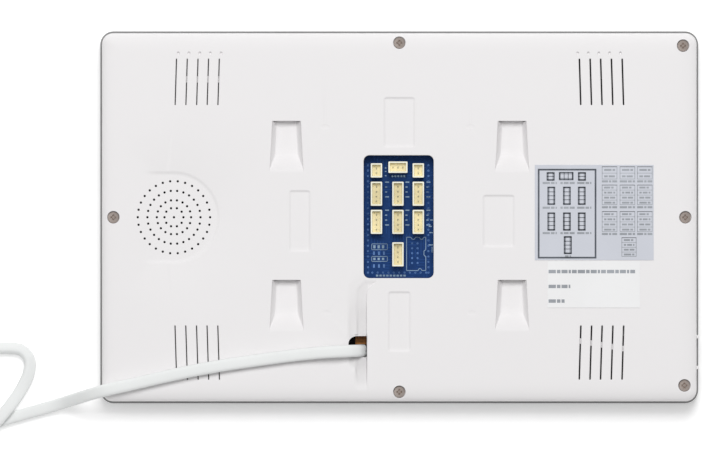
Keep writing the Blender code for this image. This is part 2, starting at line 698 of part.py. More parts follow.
def cover_cuts():
    """Return everything that is open or sunk in the cover, but for the speaker's seat."""
    bm = bmesh.new()
    above = BODY_DEPTH + OVERCUT
    for side in (-1, 1):
        for top in POCKET_TOPS:
            middle = side * POCKET_X
            add_prism(
                bm, pocket_outline(top), middle - POCKET_WIDTH / 2, middle + POCKET_WIDTH / 2, "X"
            )
    add_box(bm, (*WINDOW_LOW, COVER_BASE), (*WINDOW_HIGH, above), WINDOW_RADIUS)
    add_prism(bm, groove_outline(0.0), BODY_DEPTH - GROOVE_DEPTH, above)
    add_prism(bm, hole_outline(), COVER_BASE, above + OVERCUT)
    run_out = [
        (HOLE_BOTTOM + OVERCUT, BODY_DEPTH - RUN_OUT_DEPTH),
        (HOLE_BOTTOM + OVERCUT, BODY_DEPTH + OVERCUT / 2),
        (RUN_OUT_END, BODY_DEPTH + OVERCUT / 2),
        (RUN_OUT_END, BODY_DEPTH),
    ]
    add_prism(bm, run_out, GROOVE_LEFT, GROOVE_RIGHT, "X")
    for side_x in (-1, 1):
        for number in range(VENT_COUNT):
            x = side_x * (VENT_INNER_X + number * VENT_PITCH)
            for side_y, spans in ((1, VENT_SPANS_ABOVE), (-1, VENT_SPANS_BELOW)):
                for near, far in spans:
                    low, high = sorted((side_y * near, side_y * far))
                    add_box(
                        bm,
                        (x - VENT_WIDTH / 2, low, COVER_INNER - OVERCUT),
                        (x + VENT_WIDTH / 2, high, above),
                    )
    for radius, count in ((0.0, 1), *GRILLE_RINGS):
        for number in range(count):
            angle = math.tau * number / count
            centre = (SPEAKER_X + radius * math.cos(angle), radius * math.sin(angle))
            add_cylinder(bm, centre, GRILLE_HOLE_RADIUS, COVER_INNER - OVERCUT, above, 6)
    for low, high in RECESSES:
        add_box(bm, (*low, BODY_DEPTH - RECESS_DEPTH), (*high, above), RECESS_RADIUS, 2)
    for _, place in case_screw_places():
        add_cylinder(bm, place, HEAD_RADIUS + CLEARANCE, HEAD_SEAT, above, 16)
        add_cylinder(bm, place, SHANK_RADIUS + CLEARANCE, FRAME_BOSS_TOP, HEAD_SEAT + CLEARANCE, 8)
    for place, low in board_posts():
        add_cylinder(
            bm, place, BOARD_SCREW_RADIUS + CLEARANCE, low, low + BOARD_SCREW_LENGTH + CLEARANCE, 8
        )
    add_box(
        bm,
        (SOCKET_OUTER_X, CARD_Y - CARD_SLOT_WIDTH / 2, CARD_MIDDLE - CARD_SLOT_HEIGHT / 2),
        (BODY_WIDTH / 2, CARD_Y + CARD_SLOT_WIDTH / 2, CARD_MIDDLE + CARD_SLOT_HEIGHT / 2),
    )
    return bm


def speaker_seat():
    """Return the round hollow inside the collar that takes the loudspeaker."""
    bm = bmesh.new()
    add_cylinder(
        bm,
        (SPEAKER_X, 0.0),
        SPEAKER_RADIUS + CLEARANCE,
        COVER_INNER - SPEAKER_COLLAR_DEPTH - OVERCUT,
        COVER_INNER,
        32,
    )
    return bm


def build_rear_cover(model):
    """Build the rear cover: a lofted skin with a wall, its moulded details and its openings."""
    bm = bmesh.new()
    add_loft(bm, crown_loops(), open_start=True)
    cover = model.piece("rear_cover", bm, WHITE_PLASTIC, smooth=35)
    wall = cover.modifiers.new("wall", "SOLIDIFY")
    wall.thickness = COVER_WALL
    wall.offset = -1.0
    wall.use_even_offset = True
    model.boolean(cover, cover_joins(), "UNION")
    model.boolean(cover, speaker_seat(), "DIFFERENCE")
    model.boolean(cover, cover_cuts(), "DIFFERENCE")


def build_front_frame(model):
    """Build the front frame: side wall, glass seat, shelf round the display, and screw bosses."""
    bm = bmesh.new()
    half_x, half_y = BODY_WIDTH / 2, BODY_HEIGHT / 2
    add_box(bm, (-half_x, -half_y, 0.0), (half_x, half_y, FRAME_DEPTH), CORNER_RADIUS, 4)
    frame = model.piece("front_frame", bm, GREY_METALLIC, smooth=35)
    hollow = bmesh.new()
    for margin, low, high in (
        (GLASS_LIP, -OVERCUT, SHELF_LOW),
        (FRAME_WALL, SHELF_HIGH, FRAME_DEPTH + OVERCUT),
    ):
        add_box(
            hollow,
            (margin - half_x, margin - half_y, low),
            (half_x - margin, half_y - margin, high),
            CORNER_RADIUS - margin,
            4,
        )
    model.boolean(frame, hollow, "DIFFERENCE")
    opening = bmesh.new()
    open_x, open_y = DISPLAY_WIDTH / 2 + DISPLAY_PLAY, DISPLAY_HEIGHT / 2 + DISPLAY_PLAY
    add_box(opening, (-open_x, -open_y, 0.0), (open_x, open_y, FRAME_DEPTH))
    model.boolean(frame, opening, "DIFFERENCE")
    bosses = bmesh.new()
    for _, place in case_screw_places():
        add_cylinder(bosses, place, BOSS_RADIUS, SHELF_LOW + CLEARANCE, FRAME_BOSS_TOP, 12)
    model.boolean(frame, bosses, "UNION")
    pilots = bmesh.new()
    for _, place in case_screw_places():
        add_cylinder(
            pilots, place, SHANK_RADIUS + CLEARANCE, PILOT_LOW, FRAME_BOSS_TOP + OVERCUT, 8
        )
    model.boolean(frame, pilots, "DIFFERENCE")


def build_display(model):
    """Build the glass, the display cell, its light guide and its back plate, each on the last."""
    inset = GLASS_LIP + CLEARANCE
    half_x, half_y = BODY_WIDTH / 2 - inset, BODY_HEIGHT / 2 - inset
    glass = bmesh.new()
    low, high = (-half_x, -half_y, 0.0), (half_x, half_y, GLASS_THICKNESS)
    add_box(glass, low, high, CORNER_RADIUS - inset, 4)
    model.piece("front_glass", glass, BLACK_GLASS)
    level = SHELF_LOW
    for name, thickness, finish in (
        ("display_cell", CELL_THICKNESS, BLACK_GLASS),
        ("light_guide", GUIDE_THICKNESS, CLEAR_ACRYLIC),
        ("display_back_plate", PLATE_THICKNESS, BLACK_STEEL),
    ):
        half_x, half_y = DISPLAY_WIDTH / 2, DISPLAY_HEIGHT / 2
        model.box(name, (-half_x, -half_y, level), (half_x, half_y, level + thickness), finish)
        level += thickness + CLEARANCE
    return level


def build_screws(model):
    """Build the case screws, with cross recesses, and the plain board screws."""
    for name, (x, y) in case_screw_places():
        head_low = HEAD_SEAT + CLEARANCE
        head_top = head_low + HEAD_HEIGHT
        bm = bmesh.new()
        add_cylinder(bm, (x, y), HEAD_RADIUS, head_low, head_top, 16)
        screw = model.piece(f"case_screw_{name}", bm, WARM_NICKEL, (x, y, head_low), 40)
        shank = bmesh.new()
        add_cylinder(
            shank, (x, y), SHANK_RADIUS, head_low - SHANK_LENGTH, head_low + HEAD_HEIGHT / 3, 8
        )
        model.boolean(screw, shank, "UNION")
        cross = bmesh.new()
        arm, half = SLOT_LENGTH / 2, SLOT_WIDTH / 2
        low, high = head_top - SLOT_DEPTH, head_top + OVERCUT
        add_box(cross, (x - arm, y - half, low), (x + arm, y + half, high))
        add_box(cross, (x - half, y - arm, low), (x + half, y + arm, high))
        model.boolean(screw, cross, "DIFFERENCE")
    undersides = (
        [MAIN_BOARD_TOP - BOARD_THICKNESS] * len(MAIN_BOARD_POSTS)
        + [SUPPLY_BOARD_TOP - BOARD_THICKNESS] * len(SUPPLY_BOARD_POSTS)
        + [MAIN_BOARD_TOP - CARD_BOARD_THICKNESS]
    )
    for number, ((place, _), underside) in enumerate(zip(board_posts(), undersides), 1):
        seat = underside - CLEARANCE
        bm = bmesh.new()
        add_cylinder(bm, place, BOARD_HEAD_RADIUS, seat - BOARD_HEAD_HEIGHT, seat, 12)
        screw = model.piece(f"board_screw_{number}", bm, ZINC_STEEL, (*place, seat), 40)
        shank = bmesh.new()
        add_cylinder(
            shank,
            place,
            BOARD_SCREW_RADIUS,
            seat - BOARD_HEAD_HEIGHT / 2,
            seat + BOARD_SCREW_LENGTH,
            8,
        )
        model.boolean(screw, shank, "UNION")


def drilled_board(model, name, low, high, finish, holes, radius=0.0):
    """Add a board with clearance holes for its screws."""
    board = model.box(name, low, high, finish, radius)
    if holes:
        drill = bmesh.new()
        for place in holes:
            clear = BOARD_SCREW_RADIUS + CLEARANCE
            add_cylinder(drill, place, clear, low[2] - OVERCUT, high[2] + OVERCUT, 8)
        model.boolean(board, drill, "DIFFERENCE")


def build_header(model, name, centre, ways, across):
    """Build one header: an open shroud with its pins standing in it."""
    length = HEADER_PITCH * (ways - 1) + HEADER_END
    half = (length / 2, HEADER_WIDTH / 2) if across else (HEADER_WIDTH / 2, length / 2)
    base = MAIN_BOARD_TOP + CLEARANCE
    bm = bmesh.new()
    low = (centre[0] - half[0], centre[1] - half[1], base)
    high = (centre[0] + half[0], centre[1] + half[1], base + HEADER_HEIGHT)
    add_box(bm, low, high)
    header = model.piece(name, bm, IVORY_PLASTIC, (*centre, base))
    hollow = bmesh.new()
    add_box(
        hollow,
        (low[0] + HEADER_WALL, low[1] + HEADER_WALL, base + HEADER_FLOOR),
        (high[0] - HEADER_WALL, high[1] - HEADER_WALL, high[2] + OVERCUT),
    )
    model.boolean(header, hollow, "DIFFERENCE")
    pins = bmesh.new()
    for number in range(ways):
        along = HEADER_PITCH * (number - (ways - 1) / 2)
        x, y = (centre[0] + along, centre[1]) if across else (centre[0], centre[1] + along)
        add_box(
            pins,
            (x - PIN_WIDTH / 2, y - PIN_WIDTH / 2, base + HEADER_FLOOR / 2),
            (x + PIN_WIDTH / 2, y + PIN_WIDTH / 2, base + PIN_HEIGHT),
        )
    model.boolean(header, pins, "UNION")


def build_main_board(model):
    """Build the main board, its chips, heat sink and capacitor, and its headers."""
    top = MAIN_BOARD_TOP
    low, high = (*MAIN_BOARD_LOW, top - BOARD_THICKNESS), (*MAIN_BOARD_HIGH, top)
    drilled_board(model, "main_board", low, high, NAVY_BOARD, MAIN_BOARD_POSTS)
    seat = top + CLEARANCE
    x, y = PROCESSOR_CENTRE
    half = PROCESSOR_SIZE / 2
    low, high = (x - half, y - half, seat), (x + half, y + half, seat + CHIP_HEIGHT)
    model.box("processor", low, high, CHIP_EPOXY)
    base = seat + CHIP_HEIGHT + CLEARANCE
    half = SINK_SIZE / 2
    sink = bmesh.new()
    add_box(sink, (x - half, y - half, base), (x + half, y + half, base + SINK_BASE))
    made = model.piece("heat_sink", sink, SATIN_ALUMINIUM)
    fins = bmesh.new()
    for number in range(SINK_FINS):
        left = x - half + number * (SINK_SIZE - SINK_FIN_WIDTH) / (SINK_FINS - 1)
        add_box(
            fins,
            (left, y - half, base + SINK_BASE / 2),
            (left + SINK_FIN_WIDTH, y + half, base + SINK_HEIGHT),
        )
    model.boolean(made, fins, "UNION")
    (x, y), (width, height) = MEMORY_CENTRE, MEMORY_SIZE
    low = (x - width / 2, y - height / 2, seat)
    high = (x + width / 2, y + height / 2, seat + CHIP_HEIGHT)
    model.box("memory_chip", low, high, CHIP_EPOXY)
    model.cylinder(
        "board_capacitor",
        BOARD_CAPACITOR_CENTRE,
        BOARD_CAPACITOR_RADIUS,
        seat,
        seat + BOARD_CAPACITOR_HEIGHT,
        SATIN_ALUMINIUM,
    )
    for name, centre, ways, across in HEADERS:
        build_header(model, name, centre, ways, across)


def build_supply_board(model):
    """Build the supply board, its transformer and capacitors, and the lead's anchor."""
    top = SUPPLY_BOARD_TOP
    low, high = (*SUPPLY_BOARD_LOW, top - BOARD_THICKNESS), (*SUPPLY_BOARD_HIGH, top)
    drilled_board(model, "supply_board", low, high, BROWN_BOARD, SUPPLY_BOARD_POSTS)
    seat = top + CLEARANCE
    low, high = (*TRANSFORMER_LOW, seat), (*TRANSFORMER_HIGH, seat + TRANSFORMER_HEIGHT)
    model.box("transformer", low, high, YELLOW_TAPE, 1.5 * MM)
    (x, y), radius = BULK_CENTRE, BULK_RADIUS
    lying = bmesh.new()
    bmesh.ops.create_cone(
        lying,
        cap_ends=True,
        segments=16,
        radius1=radius,
        radius2=radius,
        depth=BULK_LENGTH,
        matrix=Matrix.Translation((x, y, seat + radius)) @ Matrix.Rotation(math.pi / 2, 4, "Y"),
    )
    model.piece("bulk_capacitor", lying, SLEEVE_BLUE, smooth=40)
    model.cylinder(
        "output_capacitor", OUTPUT_CENTRE, OUTPUT_RADIUS, seat, seat + OUTPUT_HEIGHT, SLEEVE_BLUE
    )
    (x, y), (width, height, depth) = LEAD_START, ANCHOR_SIZE
    low = (max(x - width / 2, SUPPLY_BOARD_LOW[0]), y - height / 2, seat)
    model.box("lead_anchor", low, (x + width / 2, y + height / 2, seat + depth), BLACK_PLASTIC)


def build_speaker(model):
    """Build the loudspeaker's frame with its magnet, its moving cone, and its gasket ring."""
    gasket_top = COVER_INNER - CLEARANCE
    gasket_low = gasket_top - GASKET_THICKNESS
    flange_top = gasket_low - CLEARANCE
    outer, inner = SPEAKER_RADIUS, SPEAKER_RADIUS - SPEAKER_FLANGE
    place = (SPEAKER_X, 0.0, flange_top)
    ring = [(outer, 0.0), (outer, -GASKET_THICKNESS), (inner, -GASKET_THICKNESS), (inner, 0.0)]
    model.turned("speaker_gasket", ring, (SPEAKER_X, 0.0, gasket_top), BLACK_FOAM, True)
    basket = [
        (0.0, -3.9 * MM),
        (inner - 9.0 * MM, -3.9 * MM),
        (inner - 3.3 * MM, -2.4 * MM),
        (inner, -1.2 * MM),
        (inner, 0.0),
        (outer, 0.0),
        (outer, -1.8 * MM),
        (inner - 1.3 * MM, -3.0 * MM),
        (inner - 8.3 * MM, -5.2 * MM),
        (inner - 8.3 * MM, -8.0 * MM),
        (0.0, -8.0 * MM),
    ]
    model.turned("speaker_frame", basket, place, ZINC_STEEL, False)
    edge = inner - CLEARANCE
    skin = [
        (0.0, -0.8 * MM),
        (3.0 * MM, -1.1 * MM),
        (5.6 * MM, -2.0 * MM),
        (edge - 4.0 * MM, -0.75 * MM),
        (edge - 2.0 * MM, -0.1 * MM),
        (edge, -0.1 * MM),
    ]
    under = [(radius, height - CONE_SKIN) for radius, height in reversed(skin)]
    model.turned("speaker_cone", skin + under, place, CONE_PAPER, False)


def build_card_reader(model):
    """Build the memory card, its socket, the board above it and the ribbon to the main board."""
    width = CARD_WIDTH / 2
    bm = bmesh.new()
    low = (CARD_OUTER_X - CARD_LENGTH, CARD_Y - width, CARD_TOP - CARD_THICKNESS)
    high = (CARD_OUTER_X, CARD_Y + width, CARD_TOP)
    add_box(bm, low, high, 0.8 * MM, 2)
    middle = (CARD_OUTER_X - CARD_LENGTH / 2, CARD_Y, CARD_MIDDLE)
    model.piece("memory_card", bm, BLACK_PLASTIC, middle)
    socket = model.box(
        "card_socket",
        (SOCKET_INNER_X, CARD_Y - SOCKET_HALF_WIDTH, SOCKET_LOW),
        (SOCKET_OUTER_X, CARD_Y + SOCKET_HALF_WIDTH, SOCKET_TOP),
        ZINC_STEEL,
    )
    throat = bmesh.new()
    clear = width + CARD_PLAY
    add_box(
        throat,
        (CARD_OUTER_X - CARD_LENGTH - 2 * CARD_PLAY, CARD_Y - clear, SOCKET_LOW + SOCKET_SKIN),
        (SOCKET_OUTER_X + OVERCUT, CARD_Y + clear, SOCKET_TOP - SOCKET_SKIN),
    )
    model.boolean(socket, throat, "DIFFERENCE")
    board_left = SOCKET_OUTER_X - CARD_BOARD_LENGTH
    low = (board_left, CARD_Y - CARD_BOARD_WIDTH / 2, MAIN_BOARD_TOP - CARD_BOARD_THICKNESS)
    high = (SOCKET_OUTER_X, CARD_Y + CARD_BOARD_WIDTH / 2, MAIN_BOARD_TOP)
    drilled_board(model, "card_board", low, high, GREEN_BOARD, [CARD_POST])
    level = MAIN_BOARD_TOP - CARD_BOARD_THICKNESS / 2
    start = (board_left - CLEARANCE, CARD_Y + CARD_BOARD_WIDTH / 2 - CARD_RIBBON_WIDTH)
    end = (MAIN_BOARD_HIGH[0] + CLEARANCE, MAIN_BOARD_LOW[1] + CARD_RIBBON_WIDTH / 2)
    ribbon = bmesh.new()
    outline = [
        (start[0], start[1]),
        (start[0], start[1] + CARD_RIBBON_WIDTH),
        (end[0], end[1] + CARD_RIBBON_WIDTH),
        (end[0], end[1]),
    ]
    add_prism(ribbon, outline, level - RIBBON_THICKNESS / 2, level + RIBBON_THICKNESS / 2)
    model.piece("card_ribbon", ribbon, FILM_WHITE)


def build_inner_leads(model, plate_top):
    """Build the display ribbon, the loudspeaker's lead, the supply lead and the microphone."""
    edge = MAIN_BOARD_HIGH[1]
    low = plate_top + RIBBON_THICKNESS / 2
    high = MAIN_BOARD_TOP + CLEARANCE + RIBBON_THICKNESS
    path = [
        (edge + 17.0 * MM, low),
        (edge + 7.0 * MM, low),
        (edge + 3.6 * MM, low + 1.0 * MM),
        (edge + 2.2 * MM, (low + high) / 2),
        (edge + 2.0 * MM, high - 1.2 * MM),
        (edge + 1.0 * MM, high),
        (edge - 7.0 * MM, high),
    ]
    ribbon = bmesh.new()
    outline = strip_outline(path, RIBBON_THICKNESS)
    add_prism(ribbon, outline, RIBBON_X - RIBBON_WIDTH / 2, RIBBON_X + RIBBON_WIDTH / 2, "X")
    model.piece("display_ribbon", ribbon, FILM_ORANGE)
    level = MAIN_BOARD_TOP - BOARD_THICKNESS / 2
    start_x = SPEAKER_X + SPEAKER_RADIUS + CLEARANCE + WIRE_RADIUS
    start_z = COVER_INNER - SPEAKER_COLLAR_DEPTH - 4 * CLEARANCE - WIRE_RADIUS
    end_x = MAIN_BOARD_LOW[0] - CLEARANCE
    middle_x, middle_z = (start_x + end_x) / 2, (start_z + level) / 2
    points = [
        (start_x - 2.0 * MM, 0.0, start_z),
        (start_x + 2.0 * MM, 1.0 * MM, start_z),
        (middle_x, 2.5 * MM, middle_z),
        (end_x - 3.0 * MM, 3.5 * MM, level),
        (end_x, 3.5 * MM, level),
    ]
    route = smooth_route(points, 2.5 * MM)
    model.tube("speaker_lead", route, WIRE_RADIUS, WIRE_RED)
    supply_edge, main_edge = SUPPLY_BOARD_HIGH[1], MAIN_BOARD_LOW[1]
    supply_level = SUPPLY_BOARD_TOP - BOARD_THICKNESS / 2
    under_main = MAIN_BOARD_TOP - BOARD_THICKNESS - CLEARANCE
    x = SUPPLY_BOARD_HIGH[0] / 2
    points = [
        (x, supply_edge + CLEARANCE, supply_level),
        (x, supply_edge + 2.5 * MM, supply_level),
        (x, main_edge + 3.0 * MM, (supply_level + under_main) / 2),
        (x, main_edge + 5.0 * MM, under_main - 1.0 * MM),
        (x, main_edge + 5.0 * MM, under_main),
    ]
    route = smooth_route(points, 2.0 * MM)
    model.tube("supply_lead", route, WIRE_RADIUS, WIRE_RED)
    strip_middle = (DISPLAY_HEIGHT / 2 + BODY_HEIGHT / 2 - FRAME_WALL) / 2
    seat = SHELF_HIGH + CLEARANCE
    model.cylinder(
        "microphone",
        (MICROPHONE_X, -strip_middle),
        MICROPHONE_RADIUS,
        seat,
        seat + MICROPHONE_HEIGHT,
        SATIN_ALUMINIUM,
        12,
    )


def build_labels(model):
    """Build the two printed labels on the back."""
    level = BODY_DEPTH + LABEL_GAP
    for name, (low, high), finish in (
        ("wiring_label", WIRING_LABEL, LABEL_GREY),
        ("rating_label", RATING_LABEL, LABEL_WHITE),
    ):
        model.box(name, (*low, level), (*high, level + LABEL_THICKNESS), finish)


def build_mains_lead(model):
    """Build the free lead, the outer shape of its coil, its tie, its tail and its plug."""
    radius = LEAD_THICKNESS / 2
    route = smooth_route(LEAD_ROUTE, LEAD_POINT_SPACING)
    model.tube("mains_lead", route, radius, LEAD_PVC)
    reach = (COIL_ABREAST - 1) / 2 * COIL_RADIAL_PITCH + LEAD_WIDTH / 2
    height = (COIL_LAYERS - 1) * COIL_LAYER_PITCH + LEAD_THICKNESS
    low = TIE_THICKNESS + CLEARANCE
    chamfer = radius / 2
    inner, outer = COIL_MIDDLE_RADIUS - reach, COIL_MIDDLE_RADIUS + reach
    ring = [
        (inner + chamfer, height),
        (outer - chamfer, height),
        (outer, height - chamfer),
        (outer, chamfer),
        (outer - chamfer, 0.0),
        (inner + chamfer, 0.0),
        (inner, chamfer),
        (inner, height - chamfer),
    ]
    model.turned("lead_coil", ring, (*COIL_CENTRE, low), LEAD_PVC, True, 40)
    build_tie(model, inner, outer, low, height)
    tail_x = COIL_CENTRE[0] - COIL_MIDDLE_RADIUS - reach + LEAD_WIDTH / 2
    half_chord = math.sqrt(outer**2 - (outer - LEAD_WIDTH) ** 2)
    tail_start = COIL_CENTRE[1] + half_chord + radius
    tail_end = tail_start + TAIL_LENGTH
    tail = [(tail_x, y, TAIL_HEIGHT) for y in np.linspace(tail_start, tail_end, 4)]
    model.tube("lead_tail", tail, radius, LEAD_PVC)
    build_plug(model, tail_x, tail_end + CLEARANCE)


def build_tie(model, inner, outer, low, height):
    """Build the flat tie as a closed band round the coil's bundle of turns."""
    gap = CLEARANCE
    wall = TIE_THICKNESS
    middle = (inner + outer) / 2
    half = (outer - inner) / 2
    sag = outer - math.sqrt(outer**2 - (TIE_WIDTH / 2) ** 2)
    outer_side, inner_side = middle + half + gap + wall, middle - half - gap - wall - sag
    bm = bmesh.new()
    add_box(bm, (inner_side, -TIE_WIDTH / 2, 0.0), (outer_side, TIE_WIDTH / 2, low + height + gap + wall))
    hollow = bmesh.new()
    add_box(
        hollow,
        (inner_side + wall, -TIE_WIDTH, wall),
        (outer_side - wall, TIE_WIDTH, low + height + gap),
    )
    turn = Matrix.Translation((*COIL_CENTRE, 0.0)) @ Matrix.Rotation(TIE_ANGLE, 4, "Z")
    bmesh.ops.transform(bm, matrix=turn, verts=bm.verts)
    bmesh.ops.transform(hollow, matrix=turn, verts=hollow.verts)
    band = model.piece("coil_tie", bm, BLACK_PLASTIC)
    model.boolean(band, hollow, "DIFFERENCE")


def build_plug(model, x, start):
    """Build the flat two-pin plug: relief, body and nose in one lofted piece, and two pins."""
    sections = (
        (0.0, LEAD_WIDTH + 2 * MM, LEAD_THICKNESS + 2 * MM, 1.8 * MM),
        (PLUG_RELIEF_LENGTH, 2 * PLUG_RELIEF_RADIUS + 2 * MM, 2 * PLUG_RELIEF_RADIUS, 2.8 * MM),
        (PLUG_RELIEF_LENGTH + 5 * MM, PLUG_WIDTH - 4 * MM, PLUG_DEPTH - 1.5 * MM, 3.5 * MM),
        (PLUG_RELIEF_LENGTH + 11 * MM, PLUG_WIDTH, PLUG_DEPTH, 4.0 * MM),
        (PLUG_RELIEF_LENGTH + 22 * MM, PLUG_WIDTH, PLUG_DEPTH, 4.0 * MM),
        (PLUG_RELIEF_LENGTH + PLUG_LENGTH, PLUG_NOSE_WIDTH, PLUG_DEPTH - 2.0 * MM, 3.5 * MM),
    )
    loops = []
    for along, width, depth, radius in sections:
        loop = rounded_loop(width, depth, radius, 0.0, 3)
        loops.append([(x + a, start + along, TAIL_HEIGHT + b) for a, b, _ in loop])
    bm = bmesh.new()
    add_loft(bm, loops)
    model.piece("plug_body", bm, LEAD_PVC, (x, start, TAIL_HEIGHT), 40)
    face = start + PLUG_RELIEF_LENGTH + PLUG_LENGTH + CLEARANCE
    for name, side in (("left", -1), ("right", 1)):
        pin = bmesh.new()
        bmesh.ops.create_cone(
            pin,
            cap_ends=True,
            segments=12,
            radius1=PLUG_PIN_RADIUS,
            radius2=PLUG_PIN_RADIUS,
            depth=PLUG_PIN_LENGTH,
            matrix=Matrix.Translation(
                (x + side * PIN_SPACING / 2, face + PLUG_PIN_LENGTH / 2, TAIL_HEIGHT)
            )
            @ Matrix.Rotation(math.pi / 2, 4, "X"),
        )
        model.piece(f"plug_pin_{name}", pin, WARM_NICKEL, smooth=40)


def main():
    """Build every piece of the monitor."""
    clear_scene()
    model = Model("video_intercom_monitor")
    build_rear_cover(model)
    build_front_frame(model)
    plate_top = build_display(model)
    build_main_board(model)
    build_supply_board(model)
    build_speaker(model)
    build_card_reader(model)
    build_inner_leads(model, plate_top)
    build_screws(model)
    build_labels(model)
    build_mains_lead(model)


main()
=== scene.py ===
"""Looks of the wall monitor of a video intercom, lying face down with its mains lead beside it.

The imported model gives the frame. Each sub-assembly here is a class that holds its sizes and
builds and dresses its own pieces. Everything is in metres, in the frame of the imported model:
+Z out of the monitor's back, +Y to its top, +X to the right as seen from behind.
"""

import json
import logging
import math
from dataclasses import dataclass, field
from enum import Enum
from typing import Callable, Iterable, Optional, Sequence, Union

import bmesh
import bpy
import numpy as np
from mathutils import Vector, geometry
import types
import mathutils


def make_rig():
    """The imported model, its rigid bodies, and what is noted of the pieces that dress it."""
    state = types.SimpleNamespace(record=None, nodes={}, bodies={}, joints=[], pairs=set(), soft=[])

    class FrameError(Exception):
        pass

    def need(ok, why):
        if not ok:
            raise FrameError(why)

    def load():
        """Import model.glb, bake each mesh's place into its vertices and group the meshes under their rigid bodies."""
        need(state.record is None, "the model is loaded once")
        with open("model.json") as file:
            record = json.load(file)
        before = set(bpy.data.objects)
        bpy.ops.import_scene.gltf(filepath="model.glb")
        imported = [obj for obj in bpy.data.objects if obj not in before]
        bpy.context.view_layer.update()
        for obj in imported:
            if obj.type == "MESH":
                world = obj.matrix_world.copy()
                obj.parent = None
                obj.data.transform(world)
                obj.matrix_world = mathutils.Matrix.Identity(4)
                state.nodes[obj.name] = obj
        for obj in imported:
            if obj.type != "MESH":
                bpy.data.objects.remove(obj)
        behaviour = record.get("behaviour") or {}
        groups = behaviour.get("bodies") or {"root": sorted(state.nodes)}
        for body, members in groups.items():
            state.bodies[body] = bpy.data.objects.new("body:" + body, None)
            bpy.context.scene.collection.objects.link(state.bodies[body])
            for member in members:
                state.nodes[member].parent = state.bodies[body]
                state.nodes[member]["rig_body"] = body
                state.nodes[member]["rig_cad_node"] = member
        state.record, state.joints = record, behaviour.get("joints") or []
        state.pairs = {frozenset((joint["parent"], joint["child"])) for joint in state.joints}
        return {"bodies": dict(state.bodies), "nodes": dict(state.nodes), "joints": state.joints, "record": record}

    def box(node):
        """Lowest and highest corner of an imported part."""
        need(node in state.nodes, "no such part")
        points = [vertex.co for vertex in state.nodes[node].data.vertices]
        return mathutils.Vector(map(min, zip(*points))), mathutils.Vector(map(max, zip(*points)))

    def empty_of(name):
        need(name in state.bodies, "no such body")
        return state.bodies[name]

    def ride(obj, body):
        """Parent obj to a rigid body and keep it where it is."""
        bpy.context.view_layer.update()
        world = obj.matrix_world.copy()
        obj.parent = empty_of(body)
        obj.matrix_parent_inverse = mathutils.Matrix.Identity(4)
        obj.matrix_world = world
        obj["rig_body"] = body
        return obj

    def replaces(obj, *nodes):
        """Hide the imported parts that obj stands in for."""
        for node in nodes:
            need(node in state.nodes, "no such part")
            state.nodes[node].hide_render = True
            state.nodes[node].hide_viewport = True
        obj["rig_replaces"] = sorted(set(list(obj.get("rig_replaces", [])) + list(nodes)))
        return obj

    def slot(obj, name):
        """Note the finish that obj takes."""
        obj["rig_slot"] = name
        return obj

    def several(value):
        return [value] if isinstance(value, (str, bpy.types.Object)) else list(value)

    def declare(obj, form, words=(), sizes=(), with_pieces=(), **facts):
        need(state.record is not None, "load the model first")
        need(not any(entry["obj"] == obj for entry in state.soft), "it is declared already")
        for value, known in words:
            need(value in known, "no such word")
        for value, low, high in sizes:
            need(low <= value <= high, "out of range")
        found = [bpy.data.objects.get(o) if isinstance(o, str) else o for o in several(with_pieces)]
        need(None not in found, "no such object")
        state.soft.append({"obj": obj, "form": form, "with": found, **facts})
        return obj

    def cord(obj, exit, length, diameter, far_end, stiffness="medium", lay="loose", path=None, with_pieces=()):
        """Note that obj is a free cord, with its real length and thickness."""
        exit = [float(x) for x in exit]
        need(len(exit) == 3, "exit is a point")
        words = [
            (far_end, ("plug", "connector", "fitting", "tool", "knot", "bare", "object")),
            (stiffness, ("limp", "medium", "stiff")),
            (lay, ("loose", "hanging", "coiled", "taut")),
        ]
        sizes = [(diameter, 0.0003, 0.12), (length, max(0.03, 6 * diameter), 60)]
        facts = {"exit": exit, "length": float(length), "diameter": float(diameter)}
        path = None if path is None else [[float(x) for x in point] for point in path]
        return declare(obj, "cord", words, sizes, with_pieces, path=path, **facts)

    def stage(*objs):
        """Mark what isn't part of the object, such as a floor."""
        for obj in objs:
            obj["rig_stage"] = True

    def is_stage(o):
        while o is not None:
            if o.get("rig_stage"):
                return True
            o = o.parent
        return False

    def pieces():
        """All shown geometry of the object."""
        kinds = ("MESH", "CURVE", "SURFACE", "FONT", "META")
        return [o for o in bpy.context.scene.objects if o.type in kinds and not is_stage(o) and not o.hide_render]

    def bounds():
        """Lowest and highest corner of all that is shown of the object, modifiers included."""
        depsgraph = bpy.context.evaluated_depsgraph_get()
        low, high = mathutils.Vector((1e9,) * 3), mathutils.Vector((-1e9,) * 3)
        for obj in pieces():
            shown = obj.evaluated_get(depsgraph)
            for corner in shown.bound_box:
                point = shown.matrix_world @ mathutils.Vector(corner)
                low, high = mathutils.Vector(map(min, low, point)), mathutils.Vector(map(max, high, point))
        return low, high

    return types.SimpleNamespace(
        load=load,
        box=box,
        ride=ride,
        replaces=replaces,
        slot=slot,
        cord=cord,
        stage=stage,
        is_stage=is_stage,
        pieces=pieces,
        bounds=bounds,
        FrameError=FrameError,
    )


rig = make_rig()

LOG = logging.getLogger("monitor")
MM = 0.001
HOUSING = "housing"
MERGE = 0.000002
EDGE_MARGIN = 0.25 * MM
Height = Callable[[np.ndarray, np.ndarray], np.ndarray]
Number = Union[float, "Value"]


# ----------------------------------------------------------------------------- mesh tools


